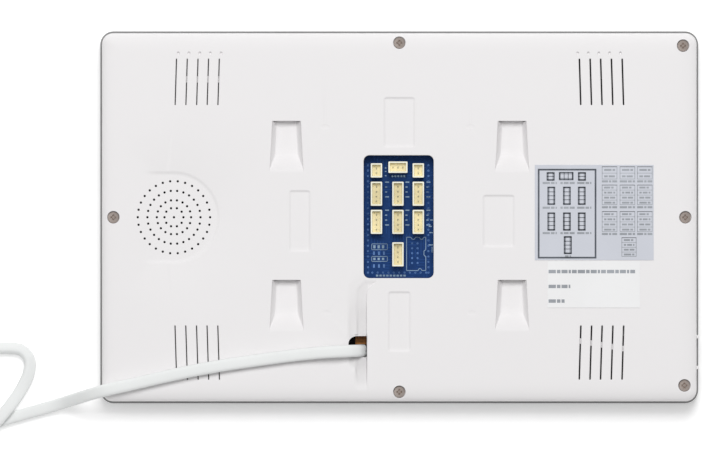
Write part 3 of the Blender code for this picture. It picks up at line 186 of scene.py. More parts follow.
class Patchwork:
    """Surface patches that are gathered and then merged into one closed mesh."""

    def __init__(self) -> None:
        """Start with no patches."""
        self.points: list[np.ndarray] = []
        self.faces: list[np.ndarray] = []
        self.total = 0

    def add(self, points: np.ndarray, faces: np.ndarray) -> None:
        """Add points and the faces between them.

        Args:
            points: (n, 3) places.
            faces: (m, 3) or (m, 4) indices into the points.
        """
        self.points.append(points.reshape(-1, 3))
        self.faces.append(faces + self.total)
        self.total += len(points.reshape(-1, 3))

    def grid(self, rows: np.ndarray, closed: bool = False, ends: bool = False) -> None:
        """Add a grid: row i and column j give the place of its point (i, j).

        Args:
            rows: (m, n, 3) places.
            closed: whether the last column joins the first.
            ends: whether the first and last rows are closed by fans from their middles.
        """
        count, width = rows.shape[:2]
        index = np.arange(count * width).reshape(count, width)
        right = np.roll(index, -1, axis=1)
        if not closed:
            index, right = index[:, :-1], right[:, :-1]
        quads = np.stack([index[:-1], right[:-1], right[1:], index[1:]], axis=-1)
        self.add(rows, quads.reshape(-1, 4))
        if ends:
            for row in (rows[0], rows[-1]):
                self.fan(row)

    def fan(self, loop: np.ndarray) -> None:
        """Close a loop by triangles from its middle."""
        points = np.vstack([loop, loop.mean(axis=0)])
        index = np.arange(len(loop))
        middle = np.full(len(loop), len(loop))
        self.add(points, np.stack([index, np.roll(index, -1), middle], axis=1))

    def plate(
        self,
        outline: np.ndarray,
        holes: Sequence[np.ndarray],
        height: Height,
        inner: Optional[np.ndarray] = None,
    ) -> None:
        """Fill between an outline and its holes; the height is a function of x and y.

        The plan is a Delaunay triangulation that keeps every loop's edges, without the
        triangles whose middles are outside the outline or in a hole.

        Args:
            outline: (n, 2 or 3) outer loop.
            holes: inner loops.
            height: gives z for arrays of x and y.
            inner: (m, 2) further points on the surface.
        """
        loops = [np.asarray(loop)[:, :2] for loop in (outline, *holes)]
        spread = [] if inner is None else [inner]
        flat = np.vstack([*loops, *spread])
        edges, start = [], 0
        for loop in loops:
            index = np.arange(len(loop))
            edges.append(np.stack([index, np.roll(index, -1)], axis=1) + start)
            start += len(loop)
        scale = 1000.0
        found = geometry.delaunay_2d_cdt(
            [Vector(p) for p in flat * scale], np.vstack(edges).tolist(), [], 0, 0.0002, False
        )
        places = np.array([tuple(v) for v in found[0]]) / scale
        faces = np.array([f for f in found[2] if len(f) == 3])
        middle = places[faces].mean(axis=1)
        keep = inside(middle, loops[0])
        for loop in loops[1:]:
            keep &= ~inside(middle, loop)
        z = height(places[:, 0], places[:, 1])
        self.add(np.column_stack([places, z]), faces[keep])

    def piece(
        self, name: str, material: bpy.types.Material, sharp: float = 40.0, merge: float = MERGE
    ) -> bpy.types.Object:
        """Merge the patches into one smooth-shaded object at the origin.

        Args:
            name: the piece's name.
            material: its material.
            sharp: the angle in degrees past which an edge stays sharp.
            merge: how near two points have to be to become one.

        Returns:
            The new object, with its normals pointing outwards.
        """
        mesh = bpy.data.meshes.new(name)
        polygons = [tuple(face) for block in self.faces for face in block.tolist()]
        mesh.from_pydata(np.vstack(self.points).tolist(), [], polygons)
        bm = bmesh.new()
        bm.from_mesh(mesh)
        bmesh.ops.remove_doubles(bm, verts=bm.verts, dist=merge)
        bmesh.ops.dissolve_degenerate(bm, edges=bm.edges, dist=merge / 4)
        bmesh.ops.recalc_face_normals(bm, faces=bm.faces)
        bm.to_mesh(mesh)
        bm.free()
        mesh.shade_smooth()
        mesh.set_sharp_from_angle(angle=math.radians(sharp))
        return link(name, mesh, material)


def link(name: str, mesh: bpy.types.Mesh, material: bpy.types.Material) -> bpy.types.Object:
    """Put a mesh into the scene as an object of one material."""
    made = bpy.data.objects.new(name, mesh)
    bpy.context.scene.collection.objects.link(made)
    mesh.materials.clear()
    mesh.materials.append(material)
    return made


def inside(points: np.ndarray, loop: np.ndarray) -> np.ndarray:
    """Say which points lie inside a closed loop, by counting edges crossed by a ray along +x.

    Args:
        points: (n, 2) places.
        loop: (m, 2) corners.

    Returns:
        (n,) truth values.
    """
    x, y = points[:, :1], points[:, 1:]
    ax, ay = loop[:, 0], loop[:, 1]
    bx, by = np.roll(ax, -1), np.roll(ay, -1)
    rise = np.where(by == ay, 1e-12, by - ay)
    crossed = ((ay > y) != (by > y)) & (x < ax + (y - ay) * (bx - ax) / rise)
    return crossed.sum(axis=1) % 2 == 1


def rounded(
    low: Sequence[float], high: Sequence[float], radius: float, arc: int = 6, step: float = 1.0
) -> np.ndarray:
    """Give a rounded rectangle as a loop, counter-clockwise from the right side's top.

    Each corner is a quarter circle of arc + 1 points, and each straight side is divided into
    the same number of equal lengths on any copy of the loop with the same step count.

    Args:
        low: lowest x and y.
        high: highest x and y.
        radius: corner radius.
        arc: spans in a corner.
        step: number of spans on each straight side.

    Returns:
        (n, 2) places.
    """
    (x0, y0), (x1, y1) = low, high
    centres = ((x1 - radius, y1 - radius), (x0 + radius, y1 - radius))
    centres += ((x0 + radius, y0 + radius), (x1 - radius, y0 + radius))
    corners = []
    for quarter, centre in enumerate(centres):
        angle = np.radians(90 * (quarter + np.linspace(0, 1, arc + 1)))
        corners.append(np.array(centre) + radius * np.stack([np.cos(angle), np.sin(angle)], 1))
    pieces = []
    share = np.linspace(0, 1, int(step) + 1)[1:-1, None]
    for corner, following in zip(corners, corners[1:] + corners[:1]):
        pieces += [corner, corner[-1] + share * (following[0] - corner[-1])]
    return np.vstack(pieces)


def circle(centre: Sequence[float], radius: float, sides: int) -> np.ndarray:
    """Give a circle as a loop of (sides, 2) places."""
    angle = np.arange(sides) * math.tau / sides
    return np.array(centre[:2]) + radius * np.stack([np.cos(angle), np.sin(angle)], axis=1)


def at_height(loop: np.ndarray, z: Union[float, np.ndarray]) -> np.ndarray:
    """Lift an (n, 2) loop to a height."""
    return np.column_stack([loop, np.broadcast_to(z, len(loop))])


def smooth(x: np.ndarray) -> np.ndarray:
    """Ease from 0 to 1 as x goes from 0 to 1, level at both ends: 3x² − 2x³."""
    x = np.clip(x, 0.0, 1.0)
    return x * x * (3 - 2 * x)


def fillet(radius: float, steps: int = 3, margin: float = 0.12 * MM) -> list[tuple[float, float]]:
    """Give the rolled edge of an opening as (distance outside its wall, drop) pairs.

    A flat margin comes first, then a quarter circle: distance r(1 − sin a), drop r(1 − cos a).
    """
    angles = np.linspace(0, math.pi / 2, steps + 1)
    rolled = [(radius * (1 - math.sin(a)), radius * (1 - math.cos(a))) for a in angles]
    return [(radius + margin, 0.0), *rolled]


def boxes(bars: np.ndarray, low: float, high: float) -> Patchwork:
    """Give a patchwork of flat bars.

    Args:
        bars: (n, 4) lowest x, lowest y, highest x and highest y of each bar.
        low: underside.
        high: top.
    """
    bars = np.asarray(bars, float)
    x = bars[:, [0, 2, 2, 0, 0, 2, 2, 0]]
    y = bars[:, [1, 1, 3, 3, 1, 1, 3, 3]]
    z = np.broadcast_to(np.array([low] * 4 + [high] * 4), x.shape)
    sides = [(3, 2, 1, 0), (4, 5, 6, 7), (0, 1, 5, 4), (1, 2, 6, 5), (2, 3, 7, 6), (3, 0, 4, 7)]
    faces = np.arange(len(bars))[:, None, None] * 8 + np.array(sides)
    made = Patchwork()
    made.add(np.stack([x, y, z], axis=-1), faces.reshape(-1, 4))
    return made


def slab(loops: Sequence[np.ndarray]) -> Patchwork:
    """Join (n, 3) loops of equal length into a closed slab with flat ends."""
    made = Patchwork()
    made.grid(np.stack(loops), closed=True, ends=True)
    return made


def sweep(
    path: np.ndarray, across: np.ndarray, upward: np.ndarray, section: np.ndarray
) -> np.ndarray:
    """Carry a section along a path: point = centre + a·across + b·upward.

    Args:
        path: (m, 3) centres.
        across: (m, 3) unit vectors for the section's first value.
        upward: (m, 3) unit vectors for its second value.
        section: (n, 2) values, or (m, n, 2) where it changes along the path.

    Returns:
        (m, n, 3) rows.
    """
    section = np.broadcast_to(section, (len(path), *section.shape[-2:]))
    return (
        path[:, None]
        + section[..., :1] * across[:, None]
        + section[..., 1:] * upward[:, None]
    )


def superellipse(
    angle: np.ndarray, power: Union[float, np.ndarray]
) -> tuple[np.ndarray, np.ndarray]:
    """Give a superellipse of unit half axes: cos and sin to 2/power, with their signs kept."""
    a, b = np.cos(angle), np.sin(angle)
    return np.sign(a) * np.abs(a) ** (2 / power), np.sign(b) * np.abs(b) ** (2 / power)


def clear_of(points: np.ndarray, holes: Sequence[np.ndarray]) -> np.ndarray:
    """Give the points that are outside every hole and not close to its edge."""
    keep = np.ones(len(points), bool)
    for hole in holes:
        flat = hole[:, :2]
        near = np.linalg.norm(points[:, None] - flat[None], axis=2).min(axis=1) < EDGE_MARGIN
        keep &= ~(near | inside(points, flat))
    return points[keep]


def upright_tube(
    work: Patchwork, place: Sequence[float], radius: float, bore: float, low: float, high: float
) -> None:
    """Add an upright tube of 24 sides with a round bore."""
    section = [(radius, low), (radius, high), (bore, high), (bore, low), (radius, low)]
    work.grid(np.stack([at_height(circle(place, r, 24), z) for r, z in section]), closed=True)


def case_screws() -> dict[str, tuple[float, float]]:
    """Give the place of each case screw's axis, by node."""
    places = {}
    for node in sorted(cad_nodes):
        if node.startswith("case_screw_"):
            low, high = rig.box(node)
            places[node] = ((low.x + high.x) / 2, (low.y + high.y) / 2)
    return places


def dress(node: str, material: bpy.types.Material) -> None:
    """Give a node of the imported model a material."""
    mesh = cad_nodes[node].data
    mesh.materials.clear()
    mesh.materials.append(material)


def finish_piece(
    piece: bpy.types.Object, slot: str, replaced: Iterable[str] = (), body: str = HOUSING
) -> None:
    """Say which body a new piece rides on, its material slot and what it stands for."""
    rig.ride(piece, body)
    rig.slot(piece, slot)
    replaced = list(replaced)
    if replaced:
        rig.replaces(piece, *replaced)
    LOG.info("%s: %d faces on %s", piece.name, len(piece.data.polygons), body)


# ----------------------------------------------------------------------------- shader tools


class Value:
    """A number that varies over a surface, with Python's arithmetic."""

    def __init__(self, nodes: "Nodes", socket: bpy.types.NodeSocket) -> None:
        """Wrap an output socket."""
        self.nodes = nodes
        self.socket = socket

    def math(self, operation: str, *values: Number, clamp: bool = False) -> "Value":
        """Apply a Math node to the given values."""
        settings = {"operation": operation, "use_clamp": clamp}
        node = self.nodes.add("ShaderNodeMath", settings, dict(enumerate(values)))
        return Value(self.nodes, node.outputs[0])

    def __add__(self, other: Number) -> "Value":
        """Add."""
        return self.math("ADD", self, other)

    __radd__ = __add__

    def __mul__(self, other: Number) -> "Value":
        """Multiply."""
        return self.math("MULTIPLY", self, other)

    __rmul__ = __mul__

    def __sub__(self, other: Number) -> "Value":
        """Subtract."""
        return self.math("SUBTRACT", self, other)

    def __rsub__(self, other: Number) -> "Value":
        """Subtract from a number."""
        return self.math("SUBTRACT", other, self)

    def __truediv__(self, other: Number) -> "Value":
        """Divide."""
        return self.math("DIVIDE", self, other)

    def __abs__(self) -> "Value":
        """Drop the sign."""
        return self.math("ABSOLUTE", self)

    def __gt__(self, other: Number) -> "Value":
        """Give 1 where it is greater, else 0."""
        return self.math("GREATER_THAN", self, other)

    def __lt__(self, other: Number) -> "Value":
        """Give 1 where it is less, else 0."""
        return self.math("LESS_THAN", self, other)

    def between(self, low: float, high: float) -> "Value":
        """Rise smoothly from 0 at low to 1 at high."""
        settings = {"interpolation_type": "SMOOTHSTEP"}
        node = self.nodes.add(
            "ShaderNodeMapRange", settings, {"Value": self, "From Min": low, "From Max": high}
        )
        return Value(self.nodes, node.outputs[0])


class Nodes:
    """The nodes of one material, on the object's own coordinates."""

    def __init__(self, name: str) -> None:
        """Make a material with a Principled shader."""
        self.material = bpy.data.materials.new(name)
        self.material.use_nodes = True
        self.tree = self.material.node_tree
        self.shader = self.tree.nodes["Principled BSDF"]
        self.place = self.add("ShaderNodeTexCoord", {}, {}).outputs["Object"]

    def add(self, kind: str, settings: dict, values: dict) -> bpy.types.Node:
        """Add a node.

        Args:
            kind: the node's type.
            settings: its properties, set first; "stops" are a ramp's (position, colour) pairs.
            values: a number, colour, Value or socket for each input, by name or index.

        Returns:
            The node.
        """
        node = self.tree.nodes.new(kind)
        for key, setting in settings.items():
            if key == "stops":
                ramp = node.color_ramp.elements
                while len(ramp) < len(setting):
                    ramp.new(0.5)
                for element, (position, colour) in zip(ramp, setting):
                    element.position = position
                    element.color = (*colour, 1.0)
            else:
                setattr(node, key, setting)
        for key, value in values.items():
            self.feed(node.inputs[key], value)
        return node

    def feed(self, socket: bpy.types.NodeSocket, value: object) -> None:
        """Link a value to an input, or set it where it is a plain number or colour."""
        if isinstance(value, Value):
            value = value.socket
        if isinstance(value, bpy.types.NodeSocket):
            self.tree.links.new(value, socket)
        elif socket.type == "RGBA" and len(value) == 3:
            socket.default_value = (*value, 1.0)
        else:
            socket.default_value = value

    def placed(self, scale: Sequence[float] = (1, 1, 1)) -> bpy.types.NodeSocket:
        """Give the coordinates stretched by a scale."""
        return self.add("ShaderNodeMapping", {}, {"Vector": self.place, "Scale": scale}).outputs[0]

    def axis(self, letter: str) -> Value:
        """Give the x, y or z coordinate in metres."""
        return Value(self, self.add("ShaderNodeSeparateXYZ", {}, {0: self.place}).outputs[letter])

    def noise(
        self, scale: float, detail: float = 2.0, stretch: Sequence[float] = (1, 1, 1)
    ) -> Value:
        """Give soft noise from 0 to 1 with the given number of features in a metre."""
        values = {"Vector": self.placed(stretch), "Scale": scale, "Detail": detail}
        return Value(self, self.add("ShaderNodeTexNoise", {}, values).outputs[0])

    def mix(self, factor: Number, first: object, second: object) -> bpy.types.NodeSocket:
        """Mix two colours."""
        values = {"Factor": factor, 6: first, 7: second}
        return self.add("ShaderNodeMix", {"data_type": "RGBA"}, values).outputs[2]

    def bump(self, height: Value, depth: float) -> None:
        """Raise the surface by a height from 0 to 1 times a depth in metres."""
        node = self.add("ShaderNodeBump", {}, {"Height": height, "Distance": depth})
        self.tree.links.new(node.outputs[0], self.shader.inputs["Normal"])

    def paint(self, **values: object) -> None:
        """Feed the shader's sockets, which are named with spaces for underscores."""
        for key, value in values.items():
            self.feed(self.shader.inputs[key.replace("_", " ")], value)


# ----------------------------------------------------------------------------- finishes


@dataclass(frozen=True)
class Finish:
    """A plain finish with a fine grain, faint mottling and an uneven gloss."""

    name: str
    colour: tuple[float, float, float]
    roughness: float = 0.5
    metallic: float = 0.0
    coat: float = 0.0
    mottle: float = 0.04
    grain: float = 2600.0
    relief: float = 0.012 * MM
    gloss: float = 0.5

    def material(self) -> bpy.types.Material:
        """Make the material."""
        nodes = Nodes(f"{self.name}_look")
        nodes.paint(Metallic=self.metallic, Coat_Weight=self.coat, Specular_IOR_Level=self.gloss)
        self.cover(nodes)
        return nodes.material

    def shade(self, factor: float) -> tuple[float, float, float]:
        """Give the finish's colour, lighter or darker by a factor."""
        return tuple(min(1.0, part * factor) for part in self.colour)

    def cover(self, nodes: Nodes) -> None:
        """Lay the finish: broad noise tints it, fine noise roughens it and raises its grain."""
        broad = nodes.noise(70.0, 3.0)
        fine = nodes.noise(self.grain, 3.0)
        low, high = self.shade(1 - self.mottle), self.shade(1 + self.mottle)
        colour = nodes.mix(broad.between(0.3, 0.7), low, high)
        nodes.paint(Base_Color=colour, Roughness=self.roughness + (fine - 0.5) * 0.12)
        nodes.bump(fine, self.relief)


@dataclass(frozen=True)
class CoverPlastic(Finish):
    """White plastic with painted shade in the cable groove: darker where the groove is deeper, and darker still below
    the lead's hole, where the lead's shadow falls.
    """

    level: float = 22.0 * MM
    low: tuple[float, float] = (-24.0 * MM, -76.0 * MM)
    high: tuple[float, float] = (-13.8 * MM, -22.0 * MM)

    def cover(self, nodes: Nodes) -> None:
        """Paint shade inside a rectangle: darker the deeper the groove is, and more below y = −60 mm as a painted
        shadow of the lead.
        """
        fine = nodes.noise(self.grain, 3.0)
        broad = nodes.noise(70.0, 3.0)
        x, y = nodes.axis("X"), nodes.axis("Y")
        depth = self.level - nodes.axis("Z")
        within = (x > self.low[0]) * (x < self.high[0]) * (y > self.low[1]) * (y < self.high[1])
        deep = depth.between(0.15 * MM, 0.8 * MM) * 0.5 + depth.between(0.8 * MM, 2.1 * MM) * 0.5
        # painted shade and painted shadow: the groove floor is greyed by its depth, and more where the lead's shadow
        # falls below y = −60 mm
        shade = within * deep * (depth < 4.0 * MM) * (0.55 + (y < -60.0 * MM) * 0.45)
        base = nodes.mix(broad, self.shade(1 - self.mottle), self.shade(1 + self.mottle))
        colour = nodes.mix(shade, base, self.shade(0.78))
        nodes.paint(Base_Color=colour, Roughness=self.roughness + (fine - 0.5) * 0.12)
        nodes.bump(fine, self.relief)


@dataclass(frozen=True)
class BrushedMetal(Finish):
    """Metal with fine scratches along x."""

    def cover(self, nodes: Nodes) -> None:
        """Lay scratches: noise stretched a hundredfold along x sets tint, gloss and relief."""
        lines = nodes.noise(4000.0, 3.0, (0.02, 1.0, 1.0))
        spots = nodes.noise(900.0, 2.0)
        colour = nodes.mix(lines * 0.6 + spots * 0.4, self.shade(0.86), self.shade(1.1))
        nodes.paint(Base_Color=colour, Roughness=self.roughness + (lines - 0.5) * 0.2)
        nodes.bump(lines, self.relief)


@dataclass(frozen=True)
class SolderMask(Finish):
    """A lacquered board whose buried copper tracks show as faint lighter, raised lines."""

    pitch: float = 1.27 * MM

    def cover(self, nodes: Nodes) -> None:
        """Lay tracks: stripes across a pitch, switched on and off in blocks by coarse noise."""
        x, y = nodes.axis("X"), nodes.axis("Y")
        up = abs((x / self.pitch).math("FRACT", x / self.pitch) - 0.5) < 0.13
        along = abs((y / self.pitch).math("FRACT", y / self.pitch) - 0.5) < 0.13
        blocks = nodes.noise(150.0, 1.0)
        tracks = up * (blocks > 0.56) + along * (blocks < 0.42)
        cloud = nodes.noise(500.0, 2.0)
        base = nodes.mix(cloud, self.shade(0.85), self.shade(1.2))
        colour = nodes.mix(tracks * 0.55, base, self.shade(1.9))
        nodes.paint(Base_Color=colour, Roughness=self.roughness + cloud * 0.1)
        nodes.bump(tracks, 0.03 * MM)


@dataclass(frozen=True)
class Phenolic(Finish):
    """Bare brown board with darker fibres."""

    def cover(self, nodes: Nodes) -> None:
        """Lay fibres: two stretched noises crossed."""
        warp = nodes.noise(1800.0, 2.0, (1.0, 0.12, 1.0))
        weft = nodes.noise(1800.0, 2.0, (0.12, 1.0, 1.0))
        fibre = warp * weft
        colour = nodes.mix(fibre.between(0.12, 0.38), self.shade(0.62), self.shade(1.25))
        nodes.paint(Base_Color=colour, Roughness=self.roughness)
        nodes.bump(fibre, self.relief)


@dataclass(frozen=True)
class ScreenGlass(Finish):
    """Front glass: a black printed border round a display that is off and slightly greyer."""

    half_width: float = 108.5 * MM
    half_height: float = 68.0 * MM

    def cover(self, nodes: Nodes) -> None:
        """Lay the display's window: 1 within its half width and half height, else 0."""
        x, y = abs(nodes.axis("X")), abs(nodes.axis("Y"))
        window = (x < self.half_width) * (y < self.half_height)
        smudge = nodes.noise(25.0, 4.0).between(0.45, 0.75)
        colour = nodes.mix(window, self.colour, (0.016, 0.018, 0.022))
        nodes.paint(Base_Color=colour, Roughness=self.roughness + smudge * 0.05)
        nodes.bump(nodes.noise(12.0, 1.0), 0.02 * MM)


@dataclass(frozen=True)
class WovenTape(Finish):
    """Tape or strap with a fine crossed weave."""

    def cover(self, nodes: Nodes) -> None:
        """Lay the weave: the product of two fine sine waves."""
        x, y, z = (nodes.axis(letter) * 9000.0 for letter in "XYZ")
        wave = x.math("SINE", x + z) * y.math("SINE", y + z)
        fuzz = nodes.noise(3000.0, 3.0)
        colour = nodes.mix(fuzz, self.shade(0.7), self.shade(1.5))
        nodes.paint(Base_Color=colour, Roughness=self.roughness + fuzz * 0.1)
        nodes.bump(wave * 0.3 + fuzz * 0.7, 0.06 * MM)


class Look(Enum):
    """The finishes of the monitor's pieces."""

    WHITE = CoverPlastic("white_plastic", (0.835, 0.82, 0.825), 0.5, mottle=0.006)
    RIM = Finish("grey_rim", (0.30, 0.30, 0.30), 0.38, metallic=0.35, mottle=0.03)
    IVORY = Finish("ivory_plastic", (0.94, 0.93, 0.79), 0.5, mottle=0.04)
    # painted shade: the shroud's ivory plastic, made darker for the floor deep inside each header
    IVORY_FLOOR = Finish("ivory_floor", (0.80, 0.70, 0.43), 0.6, mottle=0.12)
    BLACK = Finish("black_plastic", (0.02, 0.02, 0.022), 0.45, mottle=0.2)
    PVC = Finish("white_pvc", (0.83, 0.845, 0.84), 0.42, mottle=0.01, grain=900.0)
    NICKEL = BrushedMetal("warm_nickel", (0.80, 0.70, 0.64), 0.5, 1.0, relief=0.004 * MM)
    STEEL = BrushedMetal("zinc_steel", (0.55, 0.56, 0.57), 0.38, 1.0, relief=0.004 * MM)
    BLACK_STEEL = BrushedMetal("black_steel", (0.025, 0.025, 0.027), 0.5, gloss=0.3)
    ALUMINIUM = BrushedMetal("satin_aluminium", (0.72, 0.73, 0.74), 0.33, 1.0, relief=0.003 * MM)
    TIN = Finish("tinned_copper", (0.62, 0.66, 0.68), 0.3, 1.0, mottle=0.1, grain=5000.0)
    NAVY = SolderMask("navy_board", (0.014, 0.044, 0.15), 0.6, gloss=0.1)
    GREEN = SolderMask("green_board", (0.02, 0.12, 0.05), 0.34, coat=0.3)
    # painted light: this brown is lighter than the bare board, standing in for light that the deep lead hole keeps
    # from the supply board
    BROWN = Phenolic("brown_board", (0.92, 0.35, 0.11), 0.6)
    EPOXY = Finish("chip_epoxy", (0.03, 0.03, 0.032), 0.62, mottle=0.15, grain=5000.0)
    TAPE = WovenTape("yellow_tape", (0.75, 0.52, 0.06), 0.4)
    STRAP = WovenTape("strap", (0.02, 0.02, 0.022), 0.8)
    SLEEVE = Finish("blue_sleeve", (0.04, 0.07, 0.22), 0.35, coat=0.4, mottle=0.1)
    PAPER = Finish("cone_paper", (0.05, 0.05, 0.055), 0.85, mottle=0.2, relief=0.05 * MM)
    FOAM = Finish("black_foam", (0.03, 0.03, 0.03), 0.95, mottle=0.3, relief=0.08 * MM)
    FILM = Finish("orange_film", (0.55, 0.24, 0.04), 0.35, coat=0.3)
    WHITE_FILM = Finish("white_film", (0.78, 0.78, 0.78), 0.4)
    ACRYLIC = Finish("clear_acrylic", (0.82, 0.86, 0.88), 0.15, mottle=0.01)
    WIRE = Finish("red_wire", (0.5, 0.03, 0.02), 0.42)
    GREY_LABEL = Finish("grey_label", (0.61, 0.63, 0.69), 0.5, mottle=0.012, grain=1500.0)
    WHITE_LABEL = Finish("white_label", (0.86, 0.86, 0.865), 0.45, mottle=0.01, grain=1500.0)
    INK = Finish("label_ink", (0.10, 0.11, 0.13), 0.55, mottle=0.25, grain=4000.0)
    PALE_INK = Finish("pale_ink", (0.34, 0.36, 0.39), 0.55, mottle=0.12, grain=4000.0)
    SILK = Finish("board_ink", (0.24, 0.34, 0.45), 0.7, mottle=0.35, grain=4000.0, gloss=0.2)
    VIA = Finish("via_mask", (0.10, 0.19, 0.40), 0.6, mottle=0.45, grain=4000.0, gloss=0.2)
    GLASS = ScreenGlass("black_glass", (0.006, 0.006, 0.007), 0.05, coat=0.6)

    @property
    def made(self) -> bpy.types.Material:
        """Give the look's material, made the first time that it is asked for."""
        known = bpy.data.materials.get(f"{self.value.name}_look")
        return known or self.value.material()


# ----------------------------------------------------------------------------- studio


@dataclass
class Studio:
    """The pale floor, the soft lights and the camera that looks straight down."""

    middle: tuple[float, float] = (-16.1 * MM, -3.8 * MM)
    span: float = 316.8 * MM
    plane: float = 22.0 * MM
    distance: float = 5.0
    sensor: float = 36.0
    floor_size: float = 12.0

    def build(self) -> None:
        """Make the camera, the floor and the lights."""
        bpy.context.scene.view_settings.view_transform = "Standard"
        self.camera()
        self.floor()
        self.lights()

    def camera(self) -> None:
        """Place a long lens high above, so that it spans the view at the height of the back."""
        data = bpy.data.cameras.new("camera")
        data.sensor_width = self.sensor
        data.lens = self.sensor * (self.distance - self.plane) / self.span
        data.clip_start = 0.05
        data.clip_end = 50.0
        made = bpy.data.objects.new("camera", data)
        made.location = (*self.middle, self.distance)
        bpy.context.scene.collection.objects.link(made)
        bpy.context.scene.camera = made

    def floor(self) -> None:
        """Lay a pale floor just under the glass."""
        half = self.floor_size / 2
        floor = boxes([(-half, -half, half, half)], -10 * MM, -0.2 * MM)
        paper = Finish("floor_paper", (0.93, 0.93, 0.93), 0.9, mottle=0.004, grain=600.0).material()
        shader = paper.node_tree.nodes["Principled BSDF"]
        shader.inputs["Emission Color"].default_value = (1.0, 1.0, 1.0, 1.0)
        shader.inputs["Emission Strength"].default_value = 0.28
        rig.stage(floor.piece("floor", paper))

    def lights(self) -> None:
        """Light softly: a key from the top side, two fills and an even sky."""
        self.area("key", (0.05, 0.95, 2.2), 0.9, 33.0).visible_glossy = False
        self.area("high_fill", (0.04, 0.4, 2.35), 0.5, 5.0).visible_glossy = False
        self.area("side_fill", (-0.9, 0.1, 2.3), 1.6, 3.0)
        world = bpy.data.worlds.new("sky")
        world.use_nodes = True
        background = world.node_tree.nodes["Background"]
        background.inputs["Color"].default_value = (1.0, 1.0, 1.0, 1.0)
        background.inputs["Strength"].default_value = 0.37
        bpy.context.scene.world = world

    def area(
        self, name: str, place: Sequence[float], size: float, power: float
    ) -> bpy.types.Object:
        """Hang a square soft light that faces the monitor, and give it."""
        data = bpy.data.lights.new(name, "AREA")
        data.size = size
        data.energy = power
        made = bpy.data.objects.new(name, data)
        made.location = place
        made.rotation_euler = (-Vector(place)).to_track_quat("-Z", "Y").to_euler()
        bpy.context.scene.collection.objects.link(made)
        return made


# ----------------------------------------------------------------------------- mains lead


